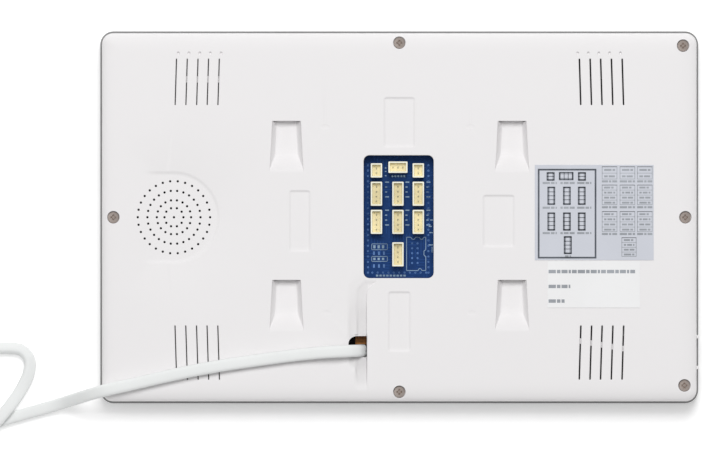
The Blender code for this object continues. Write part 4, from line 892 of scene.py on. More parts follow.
@dataclass
class MainsLead:
    """The flat twin lead, its coil and tie, and its plug."""

    width: float = 5.4 * MM
    thickness: float = 3.8 * MM
    length: float = 1.6
    spacing: float = 2.2 * MM
    route: tuple = (
        (-16.2, -58.3, 12.0),
        (-16.2, -58.3, 15.2),
        (-16.5, -58.3, 18.2),
        (-17.6, -58.3, 21.1),
        (-19.9, -58.35, 23.6),
        (-23.6, -58.5, 25.2),
        (-28.8, -58.7, 25.7),
        (-36.5, -59.3, 25.0),
        (-46.0, -60.3, 24.3),
        (-58.0, -61.9, 24.2),
        (-74.0, -64.2, 24.2),
        (-90.0, -67.0, 24.2),
        (-104.0, -70.0, 24.2),
        (-115.0, -72.5, 24.2),
        (-123.0, -74.3, 24.2),
        (-128.6, -75.6, 23.3),
        (-133.8, -77.0, 20.2),
        (-138.2, -78.4, 15.4),
        (-142.6, -79.8, 10.0),
        (-147.2, -81.3, 5.4),
        (-152.4, -82.9, 3.2),
        (-158.0, -84.5, 2.8),
        (-166.0, -86.7, 2.8),
        (-177.0, -89.9, 2.8),
        (-186.0, -93.0, 2.8),
        (-196.0, -96.5, 2.8),
        (-206.0, -99.9, 2.8),
        (-215.8, -103.3, 2.8),
        (-221.2, -107.4, 2.8),
        (-223.2, -113.7, 2.8),
        (-221.2, -120.0, 2.8),
        (-216.0, -124.0, 2.8),
        (-209.4, -124.3, 2.8),
        (-203.9, -120.9, 2.8),
        (-197.3, -113.4, 3.0),
        (-190.8, -105.8, 4.6),
        (-184.2, -98.3, 6.6),
        (-177.0, -90.0, 7.2),
        (-172.8, -85.2, 6.8),
        (-168.8, -80.2, 5.6),
        (-165.2, -74.4, 3.8),
        (-162.4, -68.2, 3.2),
        (-162.2, -62.4, 2.8),
        (-165.4, -58.4, 2.8),
        (-170.8, -57.4, 2.8),
        (-177.4, -57.6, 2.8),
        (-185.0, -58.6, 2.8),
        (-193.2, -60.1, 2.8),
        (-201.2, -60.7, 2.9),
    )
    radii: tuple = (35.7, 30.0, 24.3, 24.3, 30.0, 35.7, 35.7)
    change: float = 55.0
    waist: float = 0.07
    rolls: tuple = (
        (0, 0), (215, 0), (236, 30), (256, 30), (276, 0), (316, 0), (345, 45), (372, 40), (395, 0)
    )

    def build(self) -> None:
        self.coil_low, self.coil_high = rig.box("lead_coil")
        self.plug_low, self.plug_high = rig.box("plug_body")
        path = self.path()
        lead = self.lead(path)
        tie = self.tie()
        plug = self.plug()
        pins = [self.pin("left"), self.pin("right")]
        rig.cord(
            lead,
            exit=tuple(path[0]),
            length=self.length,
            diameter=self.width,
            far_end="plug",
            stiffness="limp",
            lay="coiled",
            with_pieces=[tie, plug, *pins],
            path=[tuple(p) for p in path],
        )

    def path(self) -> np.ndarray:
        """Give every ring's centre: the loose route, the turns of the coil, and the tail."""
        points = np.array(self.route) * MM
        turns = self.turns()
        tail_x = turns[-1][0]
        tail = np.array([(tail_x, y, turns[-1][2]) for y in (-18 * MM, -8 * MM, 4 * MM)])
        end = np.array([(tail_x, self.plug_low.y + 1.0 * MM, self.tail_height())])
        return self.even(np.vstack([points, turns, tail, end]))

    def tail_height(self) -> float:
        """Give the height of the plug's middle."""
        return (self.plug_low.z + self.plug_high.z) / 2

    def turns(self) -> np.ndarray:
        """Give the coil's turns, wound clockwise from its lowest point on the page.

        The radius and the height step from one turn's values to the next's over the first part
        of each turn, eased by 3x² − 2x³.
        """
        centre = (self.coil_low + self.coil_high) / 2
        layers = [self.coil_low.z + self.thickness / 2, self.coil_high.z - self.thickness / 2]
        heights = np.array([layers[0]] * 3 + [layers[1]] * 4)
        radii = np.array(self.radii) * MM
        angle = np.arange(0.0, 360.0 * 6.25 + 0.1, 10.0)
        turn = np.minimum((angle // 360).astype(int), 6)
        before = np.maximum(turn - 1, 0)
        share = smooth((angle % 360) / self.change)
        radius = radii[before] + (radii[turn] - radii[before]) * share
        height = heights[before] + (heights[turn] - heights[before]) * share
        around = np.radians(-90.0 - angle)
        x = centre.x + radius * np.cos(around)
        y = centre.y + radius * np.sin(around)
        return np.stack([x, y, height], axis=1)[1:]

    def even(self, points: np.ndarray) -> np.ndarray:
        """Space points evenly along a centripetal Catmull-Rom curve through the given ones."""
        fixed = np.vstack([2 * points[0] - points[1], points, 2 * points[-1] - points[-2]])
        steps = np.sqrt(np.linalg.norm(np.diff(fixed, axis=0), axis=1))
        knots = np.concatenate([[0.0], np.cumsum(steps)])
        a, b, c, d = fixed[:-3], fixed[1:-2], fixed[2:-1], fixed[3:]
        t0, t1, t2, t3 = (knots[i : len(knots) - 3 + i][:, None, None] for i in range(4))
        t = t1 + (t2 - t1) * np.linspace(0, 1, 12, endpoint=False)[None, :, None]
        a, b, c, d = (p[:, None, :] for p in (a, b, c, d))
        ab = ((t1 - t) * a + (t - t0) * b) / (t1 - t0)
        bc = ((t2 - t) * b + (t - t1) * c) / (t2 - t1)
        cd = ((t3 - t) * c + (t - t2) * d) / (t3 - t2)
        abc = ((t2 - t) * ab + (t - t0) * bc) / (t2 - t0)
        bcd = ((t3 - t) * bc + (t - t1) * cd) / (t3 - t1)
        curve = (((t2 - t) * abc + (t - t1) * bcd) / (t2 - t1)).reshape(-1, 3)
        curve = np.vstack([curve, points[-1]])
        run = np.concatenate([[0], np.cumsum(np.linalg.norm(np.diff(curve, axis=0), axis=1))])
        stops = np.linspace(0, run[-1], round(run[-1] / self.spacing) + 1)
        LOG.info("lead length %.3f m", run[-1])
        return np.stack([np.interp(stops, run, curve[:, i]) for i in range(3)], axis=1)

    def lead(self, path: np.ndarray) -> bpy.types.Object:
        """Carry the lead's flat oval along its path.

        Its broad side lies level and square to the heading, but for a roll in the loose bends.
        The section is a superellipse of power 3 with a shallow waist down its middle.
        """
        along = np.gradient(path, axis=0)
        along /= np.linalg.norm(along, axis=1)[:, None]
        level = np.hypot(along[:, 0], along[:, 1])
        heading = np.unwrap(np.arctan2(along[:, 1], along[:, 0])[level > 0.3])
        index = np.arange(len(path))
        heading = np.interp(index, index[level > 0.3], heading)
        across = np.stack([-np.sin(heading), np.cos(heading), np.zeros(len(path))], axis=1)
        upward = np.cross(across, along)
        upward /= np.linalg.norm(upward, axis=1)[:, None]
        upward *= np.where(upward[:, 2:] < -0.2, -1, 1)
        where, roll = np.array(self.rolls).T
        angle = np.radians(np.interp(index * self.spacing / MM, where, roll))
        across, upward = (
            across * np.cos(angle)[:, None] + upward * np.sin(angle)[:, None],
            upward * np.cos(angle)[:, None] - across * np.sin(angle)[:, None],
        )
        around = np.arange(20) * math.tau / 20
        a, b = superellipse(around, 3)
        a, b = a * self.width / 2, b * self.thickness / 2
        b *= 1 - self.waist * np.exp(-((a / (0.7 * MM)) ** 2))
        made = slab(list(sweep(path, across, upward, np.stack([a, b], axis=1))))
        piece = made.piece("mains_lead_flex", Look.PVC.made, 60)
        finish_piece(piece, "white_pvc", ["mains_lead", "lead_coil", "lead_tail"])
        return piece

    def tie(self) -> bpy.types.Object:
        """Wrap a hook-and-loop strap once round the coil's bundle, with a lapped end.

        The strap's middle line is a superellipse of power 6 round the bundle, in the upright
        plane through the coil's centre; it opens outwards a little past a full turn.
        """
        low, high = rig.box("coil_tie")
        centre = (self.coil_low + self.coil_high) / 2
        outward = Vector(((low.x + high.x) / 2 - centre.x, (low.y + high.y) / 2 - centre.y, 0))
        middle = 30.0 * MM
        outward.normalize()
        sideways = Vector((-outward.y, outward.x, 0.0))
        thick, width = 0.5 * MM, 7.0 * MM
        turn = np.radians(np.linspace(-60, 345, 90))
        lap = 1 + 0.05 * smooth((turn - math.radians(290)) / 0.4)
        reach = (8.4 * MM + 1.0 * MM, (self.coil_high.z - self.coil_low.z) / 2 + 0.45 * MM)
        a, b = superellipse(turn, 6)
        a, b = a * reach[0] * lap, b * reach[1] * lap
        base = np.array(centre) + middle * np.array(outward)
        path = base + a[:, None] * np.array(outward) + b[:, None] * np.array((0, 0, 1.0))
        path[:, 2] = np.maximum(path[:, 2], thick / 2 + 0.02 * MM)
        along = np.gradient(path, axis=0)
        along /= np.linalg.norm(along, axis=1)[:, None]
        across = np.broadcast_to(np.array(sideways), path.shape)
        section = rounded((-width / 2, -thick / 2), (width / 2, thick / 2), 0.2 * MM, 2)
        rows = sweep(path, across, np.cross(along, across), section)
        rows[..., 2] = np.maximum(rows[..., 2], 0.01 * MM)
        piece = slab(list(rows)).piece("coil_strap", Look.STRAP.made)
        finish_piece(piece, "black_plastic", ["coil_tie"])
        return piece

    def plug(self) -> bpy.types.Object:
        """Loft the plug: a ribbed relief, a waisted grip and a flat nose.

        Each section is a superellipse; its half width and half depth are smooth functions of
        the distance from the lead, and the relief's ribs and the grip's ridges are waves on them.
        """
        low, high = self.plug_low, self.plug_high
        centre = (low + high) / 2
        y = np.concatenate([np.linspace(0, 14, 57), np.linspace(14.3, 45.6, 90), [45.9, 46.0]])
        stops = (0.0, 13.5, 16.0, 20.0, 26.0, 34.0, 45.4, 45.9, 46.0)
        full = (high.x - low.x) / 2 / MM
        shoulder = [full - less for less in (2.3, 0.4, 0.2, 0.8, 1.2, 1.6)]
        half_width = np.interp(y, stops, (3.4, 4.3, 7.0, *shoulder))
        half_depth = np.interp(y, stops, (2.6, 3.3, 4.4, 5.9, 6.5, 6.6, 5.9, 5.6, 5.2))
        kernel = np.ones(5) / 5
        half_width = np.convolve(np.pad(half_width, 2, "edge"), kernel, "valid")
        half_depth = np.convolve(np.pad(half_depth, 2, "edge"), kernel, "valid")
        ribs = np.where(y < 13, 0.28 * np.cos(y * math.tau / 2.4), 0.0) * smooth((13 - y) / 2)
        grip = -0.35 * (1 - np.cos((y - 22) * math.tau / 2.2)) * smooth((y - 22) / 1.5)
        grip = np.where((y > 22) & (y < 35.2), grip, 0.0)
        around = np.arange(40) * math.tau / 40
        a, b = superellipse(around, np.interp(y, (0, 14, 24, 46), (2.2, 2.4, 3.4, 4.2))[:, None])
        a = a * (half_width + ribs)[:, None]
        b = b * ((half_depth + ribs)[:, None] + grip[:, None] * (np.abs(np.sin(around)) > 0.55))
        rows = np.stack(
            [
                centre.x + a * MM,
                np.broadcast_to(low.y + y[:, None] * MM, a.shape),
                centre.z + b * MM,
            ],
            axis=-1,
        )
        piece = slab(list(rows)).piece("plug_moulding", Look.PVC.made, 50)
        finish_piece(piece, "white_pvc", ["plug_body"])
        return piece

    def pin(self, side: str) -> bpy.types.Object:
        """Turn a round pin with a domed tip: radius is a function of the distance along it."""
        low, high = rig.box(f"plug_pin_{side}")
        middle = (low + high) / 2
        radius = (high.x - low.x) / 2
        length = high.y - low.y
        along = np.array([0.0, 0.02, 9.8, 10.0, 10.2, 17.2, 18.2, 18.8, 19.0]) / 19.0 * length
        size = np.array([0.98, 1.0, 1.0, 0.96, 0.97, 0.97, 0.8, 0.5, 0.1]) * radius
        around = np.arange(24) * math.tau / 24
        rows = np.stack(
            [
                middle.x + size[:, None] * np.cos(around),
                np.broadcast_to(low.y + along[:, None], (len(along), 24)),
                middle.z + size[:, None] * np.sin(around),
            ],
            axis=-1,
        )
        piece = slab(list(rows)).piece(f"plug_pin_{side}_tip", Look.NICKEL.made, 50)
        finish_piece(piece, "warm_nickel", [f"plug_pin_{side}"])
        return piece


# ----------------------------------------------------------------------------- rear cover


@dataclass
class Trough:
    """A sunk patch of the back, drawn between two side lines.

    Its depth is a function of the distance along it, shared out across it by its wall's
    section: (distance in from the side line, share of the depth) pairs. The wall's distances
    are multiplied by spread, row by row, and bow pushes each row's middle along the patch.
    """

    left: np.ndarray
    right: np.ndarray
    depth: np.ndarray
    wall: tuple
    right_wall: Optional[tuple] = None
    spread: Optional[np.ndarray] = None
    middle: int = 5
    bow: Optional[np.ndarray] = None

    def rows(self, height: Height) -> np.ndarray:
        """Give the patch as rows across, from its first end to its last."""
        wall = np.array(self.wall)
        other = np.array(self.right_wall or self.wall)
        reach = np.linalg.norm(self.right - self.left, axis=1)[:, None]
        if self.spread is not None:
            reach = reach / self.spread[:, None]
        near, far = wall[:, 0] * MM / reach, 1 - other[::-1, 0] * MM / reach
        gap = (far[:, :1] - near[:, -1:]) * np.linspace(0, 1, self.middle + 2)[1:-1]
        share = np.clip(np.hstack([near, near[:, -1:] + gap, far]), 0, 1)
        sink = np.hstack([wall[:, 1], np.ones(self.middle), other[::-1, 1]])
        across = self.right - self.left
        flat = self.left[:, None] + share[..., None] * across[:, None]
        if self.bow is not None:
            side = np.stack([across[:, 1], -across[:, 0]], axis=1)
            side /= np.linalg.norm(across, axis=1)[:, None]
            flat += (4 * share * (1 - share) * self.bow[:, None])[..., None] * side[:, None]
        z = height(flat[..., 0], flat[..., 1]) - self.depth[:, None] * sink
        return np.dstack([flat, z])

    @staticmethod
    def rim(rows: np.ndarray) -> np.ndarray:
        """Give the patch's outline as a loop."""
        return np.vstack([rows[0], rows[1:, -1], rows[-1, -2::-1], rows[-2:0:-1, 0]])


@dataclass
class RearCover:
    """The white moulded back with its crown, openings, pockets and recesses."""

    wall: float = 2.2 * MM
    border_wall: float = 3.0 * MM
    border: float = 8.8 * MM
    corner: float = 4.8 * MM
    crown_width: float = 10.0 * MM
    crown_drop: float = 4.4 * MM
    crown_power: float = 3.0
    window_low: tuple = (-15.6 * MM, -26.6 * MM)
    window_high: tuple = (15.0 * MM, 27.1 * MM)
    window_radius: float = 2.5 * MM
    skirt: float = 1.3 * MM
    skirt_low: float = 14.3 * MM
    speaker_x: float = -98.5 * MM
    rings: tuple = ((0.0, 1), (4.14, 10), (7.48, 18), (11.6, 26), (15.8, 30))
    hole_radius: float = 0.5 * MM
    vent_x: tuple = (79.0, 83.7, 88.3, 93.0, 97.7)
    vent_spans: dict = field(default_factory=lambda: {1: (49.0, 69.3), -1: (47.3, 71.0)})
    vent_tick: tuple = (71.0, 72.3)
    vent_widths: dict = field(default_factory=lambda: {-1: 0.42 * MM, 1: 0.62 * MM})
    vent_edge: float = 0.38 * MM
    vent_middle: float = 58.5 * MM
    tick_shift: float = 0.7 * MM
    tick_width: float = 0.9 * MM
    tick_edge: float = 0.3 * MM
    tick_depth: float = 1.0 * MM
    vent_slant: float = 0.03
    vent_ribs: tuple = (((-95.0, 60.3), (-76.5, 60.3), 2.8), ((76.5, -53.6), (100.0, -57.8), 2.4))
    pocket_x: float = 49.3 * MM
    pocket_tops: tuple = (42.1 * MM, -27.4 * MM)
    pocket_width: float = 12.6 * MM
    pocket_depth: float = 4.5 * MM
    pocket_ramp: float = 7.0 * MM
    pocket_flare: float = 1.1
    pocket_wall: tuple = (
        (0.0, 0.0),
        (0.12, 0.0),
        (0.25, 0.06),
        (0.45, 0.2),
        (1.9, 0.9),
        (2.2, 0.98),
        (2.6, 1.0),
    )
    undercut: float = 2.5 * MM
    tub: tuple = ((-24.4, -77.5), (-12.6, -29.5))
    tub_floor: float = 18.0 * MM
    lip: float = 1.6 * MM
    recesses: tuple = (
        (-7.2, 7.2, 52.8, 30.2),
        (-5.3, 5.3, -32.1, -59.1),
        (-48.5, -38.5, 12.1, -15.4),
        (36.1, 50.7, 10.1, -13.4),
    )
    ejector_marks: tuple = ((-32.5, 39.5), (31.0, 39.5), (-31.6, -41.8), (31.7, -41.8))
    boss_radius: float = 3.6 * MM
    bore_radius: float = 1.55 * MM
    seat: float = 19.2 * MM
    seat_radius: float = 2.7 * MM
    outline_steps: int = 60
    screws: dict = field(default_factory=dict)

    def build(self) -> None:
        """Make the cover, its hidden bosses and the small tabs beside the card slot."""
        low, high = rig.box("rear_cover")
        self.base, self.top = low.z, high.z
        self.half = (high.x - 1.0 * MM, high.y)
        self.inner_top = self.top - self.wall
        self.screws = case_screws()
        work = Patchwork()
        self.outer_holes, self.inner_holes = [], []
        self.window(work)
        self.cable_run(work)
        self.vents(work)
        self.grille(work)
        self.pockets(work)
        self.counterbores(work)
        self.shallow_recesses(work)
        self.shell(work)
        cover = work.piece("cover_shell", Look.WHITE.made, 42)
        self.undercuts(cover)
        finish_piece(cover, "white_plastic", ["rear_cover"])
        self.bosses()
        self.tabs()

    # Heights

    def inset(self, x: np.ndarray, y: np.ndarray, margin: float = 0.0) -> np.ndarray:
        """Give the distance in from the cover's rounded outline, drawn in by a margin."""
        radius = self.corner - margin
        ax = self.half[0] - margin - np.abs(x)
        ay = self.half[1] - margin - np.abs(y)
        round_corner = radius - np.hypot(np.maximum(radius - ax, 0), np.maximum(radius - ay, 0))
        return np.where((ax < radius) & (ay < radius), round_corner, np.minimum(ax, ay))

    def outer(self, x: np.ndarray, y: np.ndarray) -> np.ndarray:
        """Give the back's height.

        The crown falls by drop·(1 − (1 − (1 − d/w)^p)^(1/p)) at distance d in from the outline,
        and the field round the loudspeaker is sunk by a fraction of a millimetre.
        """
        share = np.clip(self.inset(x, y) / self.crown_width, 0, 1)
        rise = (1 - (1 - share) ** self.crown_power) ** (1 / self.crown_power)
        return self.top - self.crown_drop * (1 - rise) - self.speaker_field(x, y)

    def speaker_field(self, x: np.ndarray, y: np.ndarray) -> np.ndarray:
        """Give the depth of the field round the loudspeaker, which is open to the left."""
        dx, dy = x - self.speaker_x, y
        right = np.hypot(np.maximum(dx, 0), dy)
        edge = np.where(dx > -14.5 * MM, smooth((20.4 * MM - right) / (1.7 * MM)), 0.0)
        fade = smooth((dx + 14.5 * MM) / (8 * MM))
        return 0.6 * MM * edge * fade

    def inner(self, x: np.ndarray, y: np.ndarray) -> np.ndarray:
        """Give the underside's height: a thicker border, and a tight round at the side wall."""
        border = smooth((self.border + 1.0 * MM - self.inset(x, y)) / (1.0 * MM))
        near = np.clip(self.inset(x, y, self.wall) / (1.5 * MM), 0, 1)
        corner = 1.5 * MM * (1 - np.sqrt(1 - (1 - near) ** 2))
        return self.inner_top - (self.border_wall - self.wall) * border - corner

    # Openings

    def ring(
        self,
        work: Patchwork,
        outline: Callable[[float], np.ndarray],
        edge: float,
        rest: Sequence[tuple[float, Union[float, None]]],
        through: bool = True,
    ) -> None:
        """Add an opening with a rolled edge: its section is carried round its outline.

        Args:
            work: gathers the patches.
            outline: gives the opening's loop at a distance outside its wall.
            edge: radius of the rolled edge.
            rest: (distance, height) pairs down the wall; None is the underside's height.
            through: whether the last row bounds a hole in the underside.
        """
        rows = []
        for distance, drop in fillet(edge):
            loop = outline(distance)
            rows.append(at_height(loop, self.outer(loop[:, 0], loop[:, 1]) - drop))
        for distance, height in rest:
            loop = outline(distance)
            z = self.inner(loop[:, 0], loop[:, 1]) if height is None else height
            rows.append(at_height(loop, z))
        work.grid(np.stack(rows), closed=True, ends=False)
        self.outer_holes.append(rows[0])
        if through:
            self.inner_holes.append(rows[-1])
        else:
            work.fan(rows[-1])

    def window(self, work: Patchwork) -> None:
        """Add the connector window, whose skirt reaches down round the main board's headers."""

        def outline(distance: float) -> np.ndarray:
            low = [v - distance for v in self.window_low]
            high = [v + distance for v in self.window_high]
            return rounded(low, high, self.window_radius + distance, 6, 8)

        rest = [(0.0, self.skirt_low), (self.skirt, self.skirt_low), (self.skirt, None)]
        self.ring(work, outline, 0.3 * MM, rest)

    def vents(self, work: Patchwork) -> None:
        """Add the vent slots, which go right through, and a blind tick beyond each upper one."""
        for side_x, width in self.vent_widths.items():
            for side_y, span in self.vent_spans.items():
                for x in (v * MM for v in self.vent_x):
                    self.slot(work, side_x, side_y, x, span, width, self.vent_edge, None)
                    if side_y > 0:
                        tick = (self.vent_tick, self.tick_width, self.tick_edge, self.tick_depth)
                        self.slot(work, side_x, 1, x - self.tick_shift, *tick)

    def slot(
        self,
        work: Patchwork,
        side_x: int,
        side_y: int,
        x: float,
        span: Sequence[float],
        width: float,
        edge: float,
        depth: Optional[float],
    ) -> None:
        """Add one leaning slot: x is moved by slope times the distance past the slot's middle.

        Args:
            work: gathers the patches.
            side_x: left (-1) or right (1) half of the back.
            side_y: upper (1) or lower (-1) half of the back.
            x: distance from the middle line.
            span: where it starts and ends, away from the middle, in millimetres.
            width: width between its walls.
            edge: radius of its rolled edge.
            depth: depth of a blind slot, or None for one that goes right through.
        """
        low, high = sorted(side_y * v * MM for v in span)
        half, lean = width / 2, -side_x * side_y * self.vent_slant

        def outline(distance: float) -> np.ndarray:
            corner = (half + distance, high + distance)
            loop = rounded((-corner[0], low - distance), corner, half * 0.96 + distance, 3, 4)
            shift = lean * (loop[:, 1] - side_y * self.vent_middle)
            return loop + np.stack([side_x * x + shift, np.zeros(len(loop))], axis=1)

        if depth is None:
            self.ring(work, outline, edge, [(0.0, None)])
        else:
            floor = self.outer(*outline(0.0).mean(axis=0)) - depth
            self.ring(work, outline, edge, [(0.0, float(floor))], through=False)

    def grille(self, work: Patchwork) -> None:
        """Add the loudspeaker's grille: rings of round holes about its middle, right through."""
        for radius, count in self.rings:
            for number in range(count):
                angle = math.tau * number / count
                x = self.speaker_x + radius * MM * math.cos(angle)
                y = radius * MM * math.sin(angle)

                def outline(d: float, place=(x, y)) -> np.ndarray:
                    return circle(place, self.hole_radius + d, 12)

                self.ring(work, outline, 0.2 * MM, [(0.0, None)])

    def counterbores(self, work: Patchwork) -> None:
        """Add a counterbore and a clearance bore for each case screw."""
        for place in self.screws.values():

            def outline(d: float, place=place) -> np.ndarray:
                return circle(place, self.seat_radius + d, 32)

            bore = self.bore_radius - self.seat_radius
            rest = [(0.0, self.seat), (bore, self.seat), (bore, None)]
            self.ring(work, outline, 0.25 * MM, rest)

    def trough(self, work: Patchwork, patch: Trough) -> None:
        """Add a sunk patch and leave room for it in the back."""
        rows = patch.rows(self.outer)
        work.grid(rows)
        self.outer_holes.append(Trough.rim(rows))

    def sides(self, x0: float, x1: float, y: np.ndarray, radius: float) -> tuple:
        """Give side lines with rounded corners at both ends: x = r − √(r² − (r − s)²)."""
        down = np.clip(radius - np.minimum(np.abs(y - y[0]), np.abs(y - y[-1])), 0, radius)
        shift = radius - np.sqrt(radius**2 - down**2)
        return np.stack([x0 + shift, y], axis=1), np.stack([x1 - shift, y], axis=1)

    def shallow_recesses(self, work: Patchwork) -> None:
        """Add the four shallow recesses and the faint oval marks that the ejector pins left."""
        soft = ((0.0, 0.0), (0.15, 0.0), (0.4, 0.12), (0.75, 0.5), (1.1, 0.88), (1.5, 1.0))
        end = np.array([0, 0.12, 0.3, 0.5, 0.8, 1.1, 1.5])
        for x0, x1, y0, y1 in self.recesses:
            length = y0 - y1
            span = np.concatenate([end, np.linspace(2.4, length - 2.4, 10), length - end[::-1]])
            depth = 0.6 * smooth((span - 0.1) / 1.1) * smooth((length - span - 0.1) / 1.2)
            left, right = self.sides(x0 * MM, x1 * MM, (y0 - span) * MM, 1.6 * MM)
            self.trough(work, Trough(left, right, depth * MM, soft))
        for x, y in self.ejector_marks:
            angle = np.linspace(0.35, math.pi - 0.35, 9)
            across, down = 2.5 * np.sin(angle), 1.3 * np.cos(angle)
            left = np.stack([x - across, y + down], axis=1) * MM
            right = np.stack([x + across, y + down], axis=1) * MM
            depth = 0.1 * MM * np.sin(np.linspace(0, math.pi, 9))
            self.trough(work, Trough(left, right, depth, soft[:5], middle=1))

    def pockets(self, work: Patchwork) -> None:
        """Add the four hook pockets, each in a tub: a level floor, then a ramp up to the back.

        The sides flare downwards, and their sloping walls narrow as the ramp rises. The ramp
        eases into the back by a parabola.
        """
        half = self.pocket_width / 2
        full, slope = self.pocket_depth / MM, self.pocket_depth / self.pocket_ramp
        start = np.array([0, 0.1, 0.2, 0.28, 0.3, 0.31, 0.33, 0.6, 2, 4, 8, 12, 14.6])
        drop = np.array([0, 0, 0.02, 0.1, 0.2, 0.6, full - 0.1, *[full] * 6])
        climb = np.array([15.1, 15.6, 16.4, 17.4, 18.6, 20.0, 21.2])
        end = np.array([21.6, 22.0, 22.4, 22.8, 23.0])
        rise = slope * (22.0 - climb)
        rise[:2] -= (0.15, 0.02)
        eased = np.clip(22.8 - end, 0, None) ** 2 / 3.2 * slope
        span, depth = np.concatenate([start, climb, end]), np.concatenate([drop, rise, eased])
        flare = np.interp(span, (0, 22), (0.0, self.pocket_flare)) * MM
        spread = np.where(span < 8, 1.0, np.clip(depth / full, 0.1, 1.0))
        for side in (-1, 1):
            for top in self.pocket_tops:
                y = top + (0.3 - span) * MM
                middle = side * self.pocket_x
                left = np.stack([middle - half - 0.12 * MM - flare, y], axis=1)
                right = np.stack([middle + half + 0.12 * MM + flare, y], axis=1)
                self.trough(work, Trough(left, right, depth * MM, self.pocket_wall, spread=spread))
                reach = half + self.pocket_flare * MM + 1.6 * MM
                low = (middle - reach, y[-1] - 0.2 * MM)
                high = (middle + reach, top + self.undercut + 1.6 * MM)
                loop = rounded(low, high, 1.2 * MM, 3, 4)
                under = at_height(loop, self.top - self.pocket_depth - 1.6 * MM)
                roof = at_height(loop, self.inner(loop[:, 0], loop[:, 1]))
                work.grid(np.stack([roof, under]), closed=True)
                work.fan(under)
                self.inner_holes.append(roof)

    def cable_run(self, work: Patchwork) -> None:
        """Add the cable groove from the window's corner, the lead's hole and the run-out."""
        soft = ((0.0, 0.0), (0.3, 0.02), (1.0, 0.2), (1.9, 0.42))
        soft += ((3.2, 0.5), (4.3, 0.55), (4.9, 0.9), (5.5, 1.0))
        crisp = ((0.0, 0.0), (0.12, 0.0), (0.22, 0.06), (0.34, 0.3), (0.42, 0.93), (0.7, 1.0))
        straight = (-38, -42, -46, -50)
        left = [(-17.2, -23.4), (-18.6, -25.0), (-20.2, -26.8), (-22.2, -29.4), (-22.9, -31.2)]
        left += [(-23.0, -34), *((-23.0, y) for y in straight), (-22.9, -51.2)]
        right = [(-9.6, -28.0), (-10.4, -28.8), (-11.6, -29.7), (-12.9, -30.9), (-13.8, -32.3)]
        right += [(-14.0, -34.6), *((-14.0, y) for y in straight), (-14.0, -51.2)]
        left, right = np.array(left), np.array(right)
        depth = np.array([0.0, 0.5, 0.6, 0.7, 0.8, 0.95, 1.25, 1.85, 2.2, 2.25, 2.25]) * MM
        bow = np.interp(np.arange(11), (0, 4), (2.0, 0.0)) * MM
        groove = Trough(left * MM, right * MM, depth, soft, crisp, bow=bow)
        rows = groove.rows(self.outer)
        work.grid(rows)
        outline = self.hole_outline()
        self.join_hole(work, rows, outline)

    def hole_outline(self) -> np.ndarray:
        """Give the lead's hole, with its rounded-off top left corner."""
        angle = np.radians(np.linspace(180, 98, 7))
        corner = np.array((-18.3, -55.0)) + np.stack([3.9 * np.cos(angle), 3.1 * np.sin(angle)], 1)
        rest = np.array([(-16.0, -51.9), (-14.45, -51.9), (-14.25, -52.1), (-14.25, -56.0),
                         (-14.25, -60.95), (-18.0, -60.95), (-22.2, -60.95), (-22.2, -58.0)])
        return np.vstack([corner, rest]) * MM

    def join_hole(self, work: Patchwork, rows: np.ndarray, hole: np.ndarray) -> None:
        """Fill round the hole between the groove's end and the run-out, whose depth is a
        function of place, and drop the hole's wall to the underside."""
        floor = self.run_height()
        down = np.array([-52.4, -54, -56, -58, -60, -61.4, -62.6, -64, -66, -68.5, -71, -73.5, -76.0])
        left = np.stack([np.full(len(down), -23.0), down], axis=1) * MM
        right = np.stack([np.full(len(down), -14.0), down], axis=1) * MM
        across = rows[-1][::-1]
        bottom = np.stack([np.linspace(-22.0, -15.0, 8), np.full(8, -76.0)], axis=1) * MM
        outline = np.vstack([across[:, :2][::-1], right, bottom[::-1], left[::-1]])
        x = np.array([-22.6, -21.5, -20.4, -19.5, -18.9, -18.3, -17.4, -16.4, -15.4, -14.75, -14.45, -14.2])
        y = np.concatenate([[-51.5], np.linspace(-61.1, -75.5, 22)])
        field_points = np.stack(np.meshgrid(x, y), axis=-1).reshape(-1, 2) * MM
        wall = np.stack([np.full(6, -14.2), np.linspace(-61.2, -75, 6)], axis=1) * MM
        work.plate(outline, [hole], floor, np.vstack([field_points, wall]))
        lip = at_height(hole, floor(hole[:, 0], hole[:, 1]))
        under = at_height(hole, self.tub_floor)
        work.grid(np.stack([lip, under]), closed=True)
        tub = rounded(*np.array(self.tub) * MM, 1.2 * MM, 3, 6)
        roof = at_height(tub, self.inner(tub[:, 0], tub[:, 1]))
        work.grid(np.stack([roof, at_height(tub, self.tub_floor)]), closed=True)
        work.plate(tub, [hole], lambda x, y: np.full(len(x), self.tub_floor))
        self.inner_holes.append(roof)
        joined = np.vstack([rows[0], rows[1:, -1], at_height(right, 0), at_height(bottom[::-1], 0)])
        joined = np.vstack([joined, at_height(left[::-1], 0), rows[:0:-1, 0]])
        self.outer_holes.append(joined)

    def run_height(self) -> Height:
        """Give the height round the lead's hole and down its run-out.

        Across, the floor steps down at two thirds and rises sharply at the right wall; along,
        the left part runs out by 67 mm and the right part by 75 mm below the middle.
        """

        def height(x: np.ndarray, y: np.ndarray) -> np.ndarray:
            a, b = x / MM, -y / MM
            wall = smooth((-14.0 - a) / 0.42)
            shelf = smooth((a + 23.0) / 2.6)
            step = smooth((a + 19.5) / 1.2)
            left_depth = np.interp(b, (51, 60.5, 63.5, 67.5, 76), (1.1, 1.7, 0.95, 0.0, 0.0))
            right_depth = np.interp(b, (51, 60.5, 63.5, 70, 75.5, 76), (2.15, 2.2, 1.9, 0.85, 0, 0))
            sunk = left_depth * shelf * (1 - step) + right_depth * step
            return self.outer(x, y) - sunk * wall * MM

        return height

    # Shell

